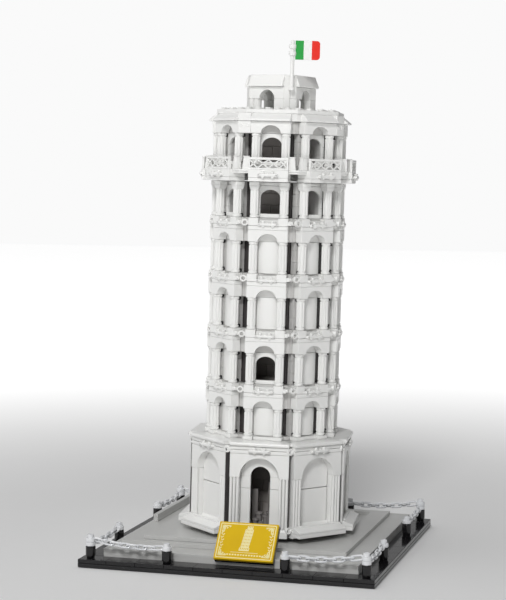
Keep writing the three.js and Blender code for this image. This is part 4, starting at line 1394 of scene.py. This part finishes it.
class BUILD_OT_block_tower_stage(bpy.types.Operator):
    """Sets out the floor, the soft lights and the camera"""

    bl_idname = "block_tower.stage"
    bl_label = "Stage"

    def execute(self, context):
        scene = context.scene
        colour = scene.block_plaza.floor_colour
        material, tree = new_material("matt_paper_floor")
        place = add_node(tree, "ShaderNodeTexCoord")
        grain = noise(tree, place, 8.0)
        tone = add_node(tree, "ShaderNodeMapRange", {
            "Value": (grain, "Fac"), "To Min": 0.97, "To Max": 1.0,
        })
        shade = add_node(tree, "ShaderNodeVectorMath", {0: tuple(colour)[:3], 1: (tone, "Result")},
                         operation="MULTIPLY")
        # the paper sweeps up into its own light a little way off
        reach = add_node(tree, "ShaderNodeVectorMath", {0: (place, "Object")}, operation="LENGTH")
        lit = add_node(tree, "ShaderNodeMapRange", {
            "Value": (reach, "Value"), "From Min": 0.2, "From Max": 1.5, "To Min": 0.0, "To Max": 0.75,
        }, interpolation_type="SMOOTHSTEP")
        paper = add_node(tree, "ShaderNodeBsdfPrincipled", {
            "Base Color": (shade, "Vector"), "Roughness": 0.9, "Emission Color": linear("#FFFFFF"),
            "Emission Strength": (lit, "Result"),
        })
        add_node(tree, "ShaderNodeOutputMaterial", {"Surface": (paper, "BSDF")})
        bm = bmesh.new()
        bmesh.ops.create_grid(bm, x_segments=2, y_segments=2, size=6.0)
        bmesh.ops.translate(bm, vec=(0, 0, -0.0005), verts=bm.verts)
        mesh = bpy.data.meshes.new("studio_floor")
        bm.to_mesh(mesh)
        bm.free()
        mesh.materials.append(material)
        floor = bpy.data.objects.new("studio_floor", mesh)
        scene.collection.objects.link(floor)
        self.sky(scene)
        self.lamp(scene, "key_panel", (0.35, -3.3, 2.6), (0, 0, 0.18), 1.0, 84)
        self.lamp(scene, "overhead_panel", (-0.9, -0.3, 3.2), (0, 0, 0.2), 1.4, 14)
        self.camera(scene)
        return {"FINISHED"}

    def sky(self, scene):
        """A pale surround, brighter on the left."""
        world = bpy.data.worlds.new("studio_surround")
        world.use_nodes = True
        tree = world.node_tree
        tree.nodes.clear()
        # the studio is bright on the left and dim on the right
        way = add_node(tree, "ShaderNodeTexCoord")
        parts = add_node(tree, "ShaderNodeSeparateXYZ", {"Vector": (way, "Generated")})
        level = add_node(tree, "ShaderNodeMapRange", {
            "Value": (parts, "X"), "From Min": -0.3, "From Max": 0.7, "To Min": 0.34, "To Max": 0.08,
        }, interpolation_type="SMOOTHSTEP")
        room = add_node(tree, "ShaderNodeBackground", {
            "Color": linear("#FFFFFF"), "Strength": (level, "Result"),
        })
        # what is seen past the model is plain paper
        paper = add_node(tree, "ShaderNodeBackground", {"Color": linear("#FAFAFA"), "Strength": 1.0})
        ray = add_node(tree, "ShaderNodeLightPath")
        seen = add_node(tree, "ShaderNodeMixShader", {
            "Fac": (ray, "Is Camera Ray"), 1: (room, "Background"), 2: (paper, "Background"),
        })
        add_node(tree, "ShaderNodeOutputWorld", {"Surface": (seen, "Shader")})
        scene.world = world
        scene.view_settings.view_transform = "Standard"

    def lamp(self, scene, name, place, target, size, power):
        """A square soft light that faces a point."""
        data = bpy.data.lights.new(name, "AREA")
        data.shape = "SQUARE"
        data.size = size
        data.energy = power
        lamp = bpy.data.objects.new(name, data)
        lamp.location = place
        lamp.rotation_euler = (Vector(target) - Vector(place)).to_track_quat("-Z", "Y").to_euler()
        scene.collection.objects.link(lamp)

    def camera(self, scene):
        """A long lens, slightly above the top of the model."""
        data = bpy.data.cameras.new("studio_camera")
        data.lens = 100.0
        data.sensor_width = 36
        data.clip_start = 0.05
        camera = bpy.data.objects.new("studio_camera", data)
        heading = Matrix.Rotation(math.radians(16.12), 4, "Z")
        tilt = Matrix.Rotation(math.radians(90 - 4.087), 4, "X")
        roll = Matrix.Rotation(math.radians(0.26), 4, "Z")
        camera.matrix_world = Matrix.Translation((0.3743, -1.33293, 0.30586)) @ heading @ tilt @ roll
        scene.collection.objects.link(camera)
        scene.camera = camera


# ---------------------------------------------------------------- panel and registration

OPERATORS = (
    BUILD_OT_block_tower_base,
    BUILD_OT_block_tower_terraces,
    BUILD_OT_block_tower_bollards,
    BUILD_OT_block_tower_chains,
    BUILD_OT_block_tower_nameplate,
    BUILD_OT_block_tower_ground,
    BUILD_OT_block_tower_galleries,
    BUILD_OT_block_tower_balcony,
    BUILD_OT_block_tower_roof,
    BUILD_OT_block_tower_belfry,
    BUILD_OT_block_tower_flag,
    BUILD_OT_block_tower_stage,
)


class VIEW3D_PT_block_tower(bpy.types.Panel):
    """The tower's pieces and sizes, in the sidebar of the 3D view"""

    bl_idname = "VIEW3D_PT_block_tower"
    bl_label = "Leaning block tower"
    bl_space_type = "VIEW_3D"
    bl_region_type = "UI"
    bl_category = "Block Tower"

    def draw(self, context):
        for settings in (context.scene.block_tower, context.scene.block_colours, context.scene.block_plaza):
            for name in settings.__annotations__:
                self.layout.prop(settings, name)
        for operator in OPERATORS:
            self.layout.operator(operator.bl_idname)


CLASSES = (BlockTowerSettings, BlockColours, PlazaSettings, *OPERATORS, VIEW3D_PT_block_tower)


def register():
    for one in CLASSES:
        bpy.utils.register_class(one)
    bpy.types.Scene.block_tower = PointerProperty(type=BlockTowerSettings)
    bpy.types.Scene.block_colours = PointerProperty(type=BlockColours)
    bpy.types.Scene.block_plaza = PointerProperty(type=PlazaSettings)


def unregister():
    del bpy.types.Scene.block_plaza
    del bpy.types.Scene.block_colours
    del bpy.types.Scene.block_tower
    for one in reversed(CLASSES):
        bpy.utils.unregister_class(one)


def main():
    """Builds every piece."""
    register()
    bpy.ops.block_tower.base()
    bpy.ops.block_tower.terraces()
    bpy.ops.block_tower.bollards()
    bpy.ops.block_tower.chains()
    bpy.ops.block_tower.nameplate()
    bpy.ops.block_tower.ground()
    bpy.ops.block_tower.galleries()
    bpy.ops.block_tower.balcony()
    bpy.ops.block_tower.roof()
    bpy.ops.block_tower.belfry()
    bpy.ops.block_tower.flag()
    bpy.ops.block_tower.stage()


if __name__ == "__main__":
    main()
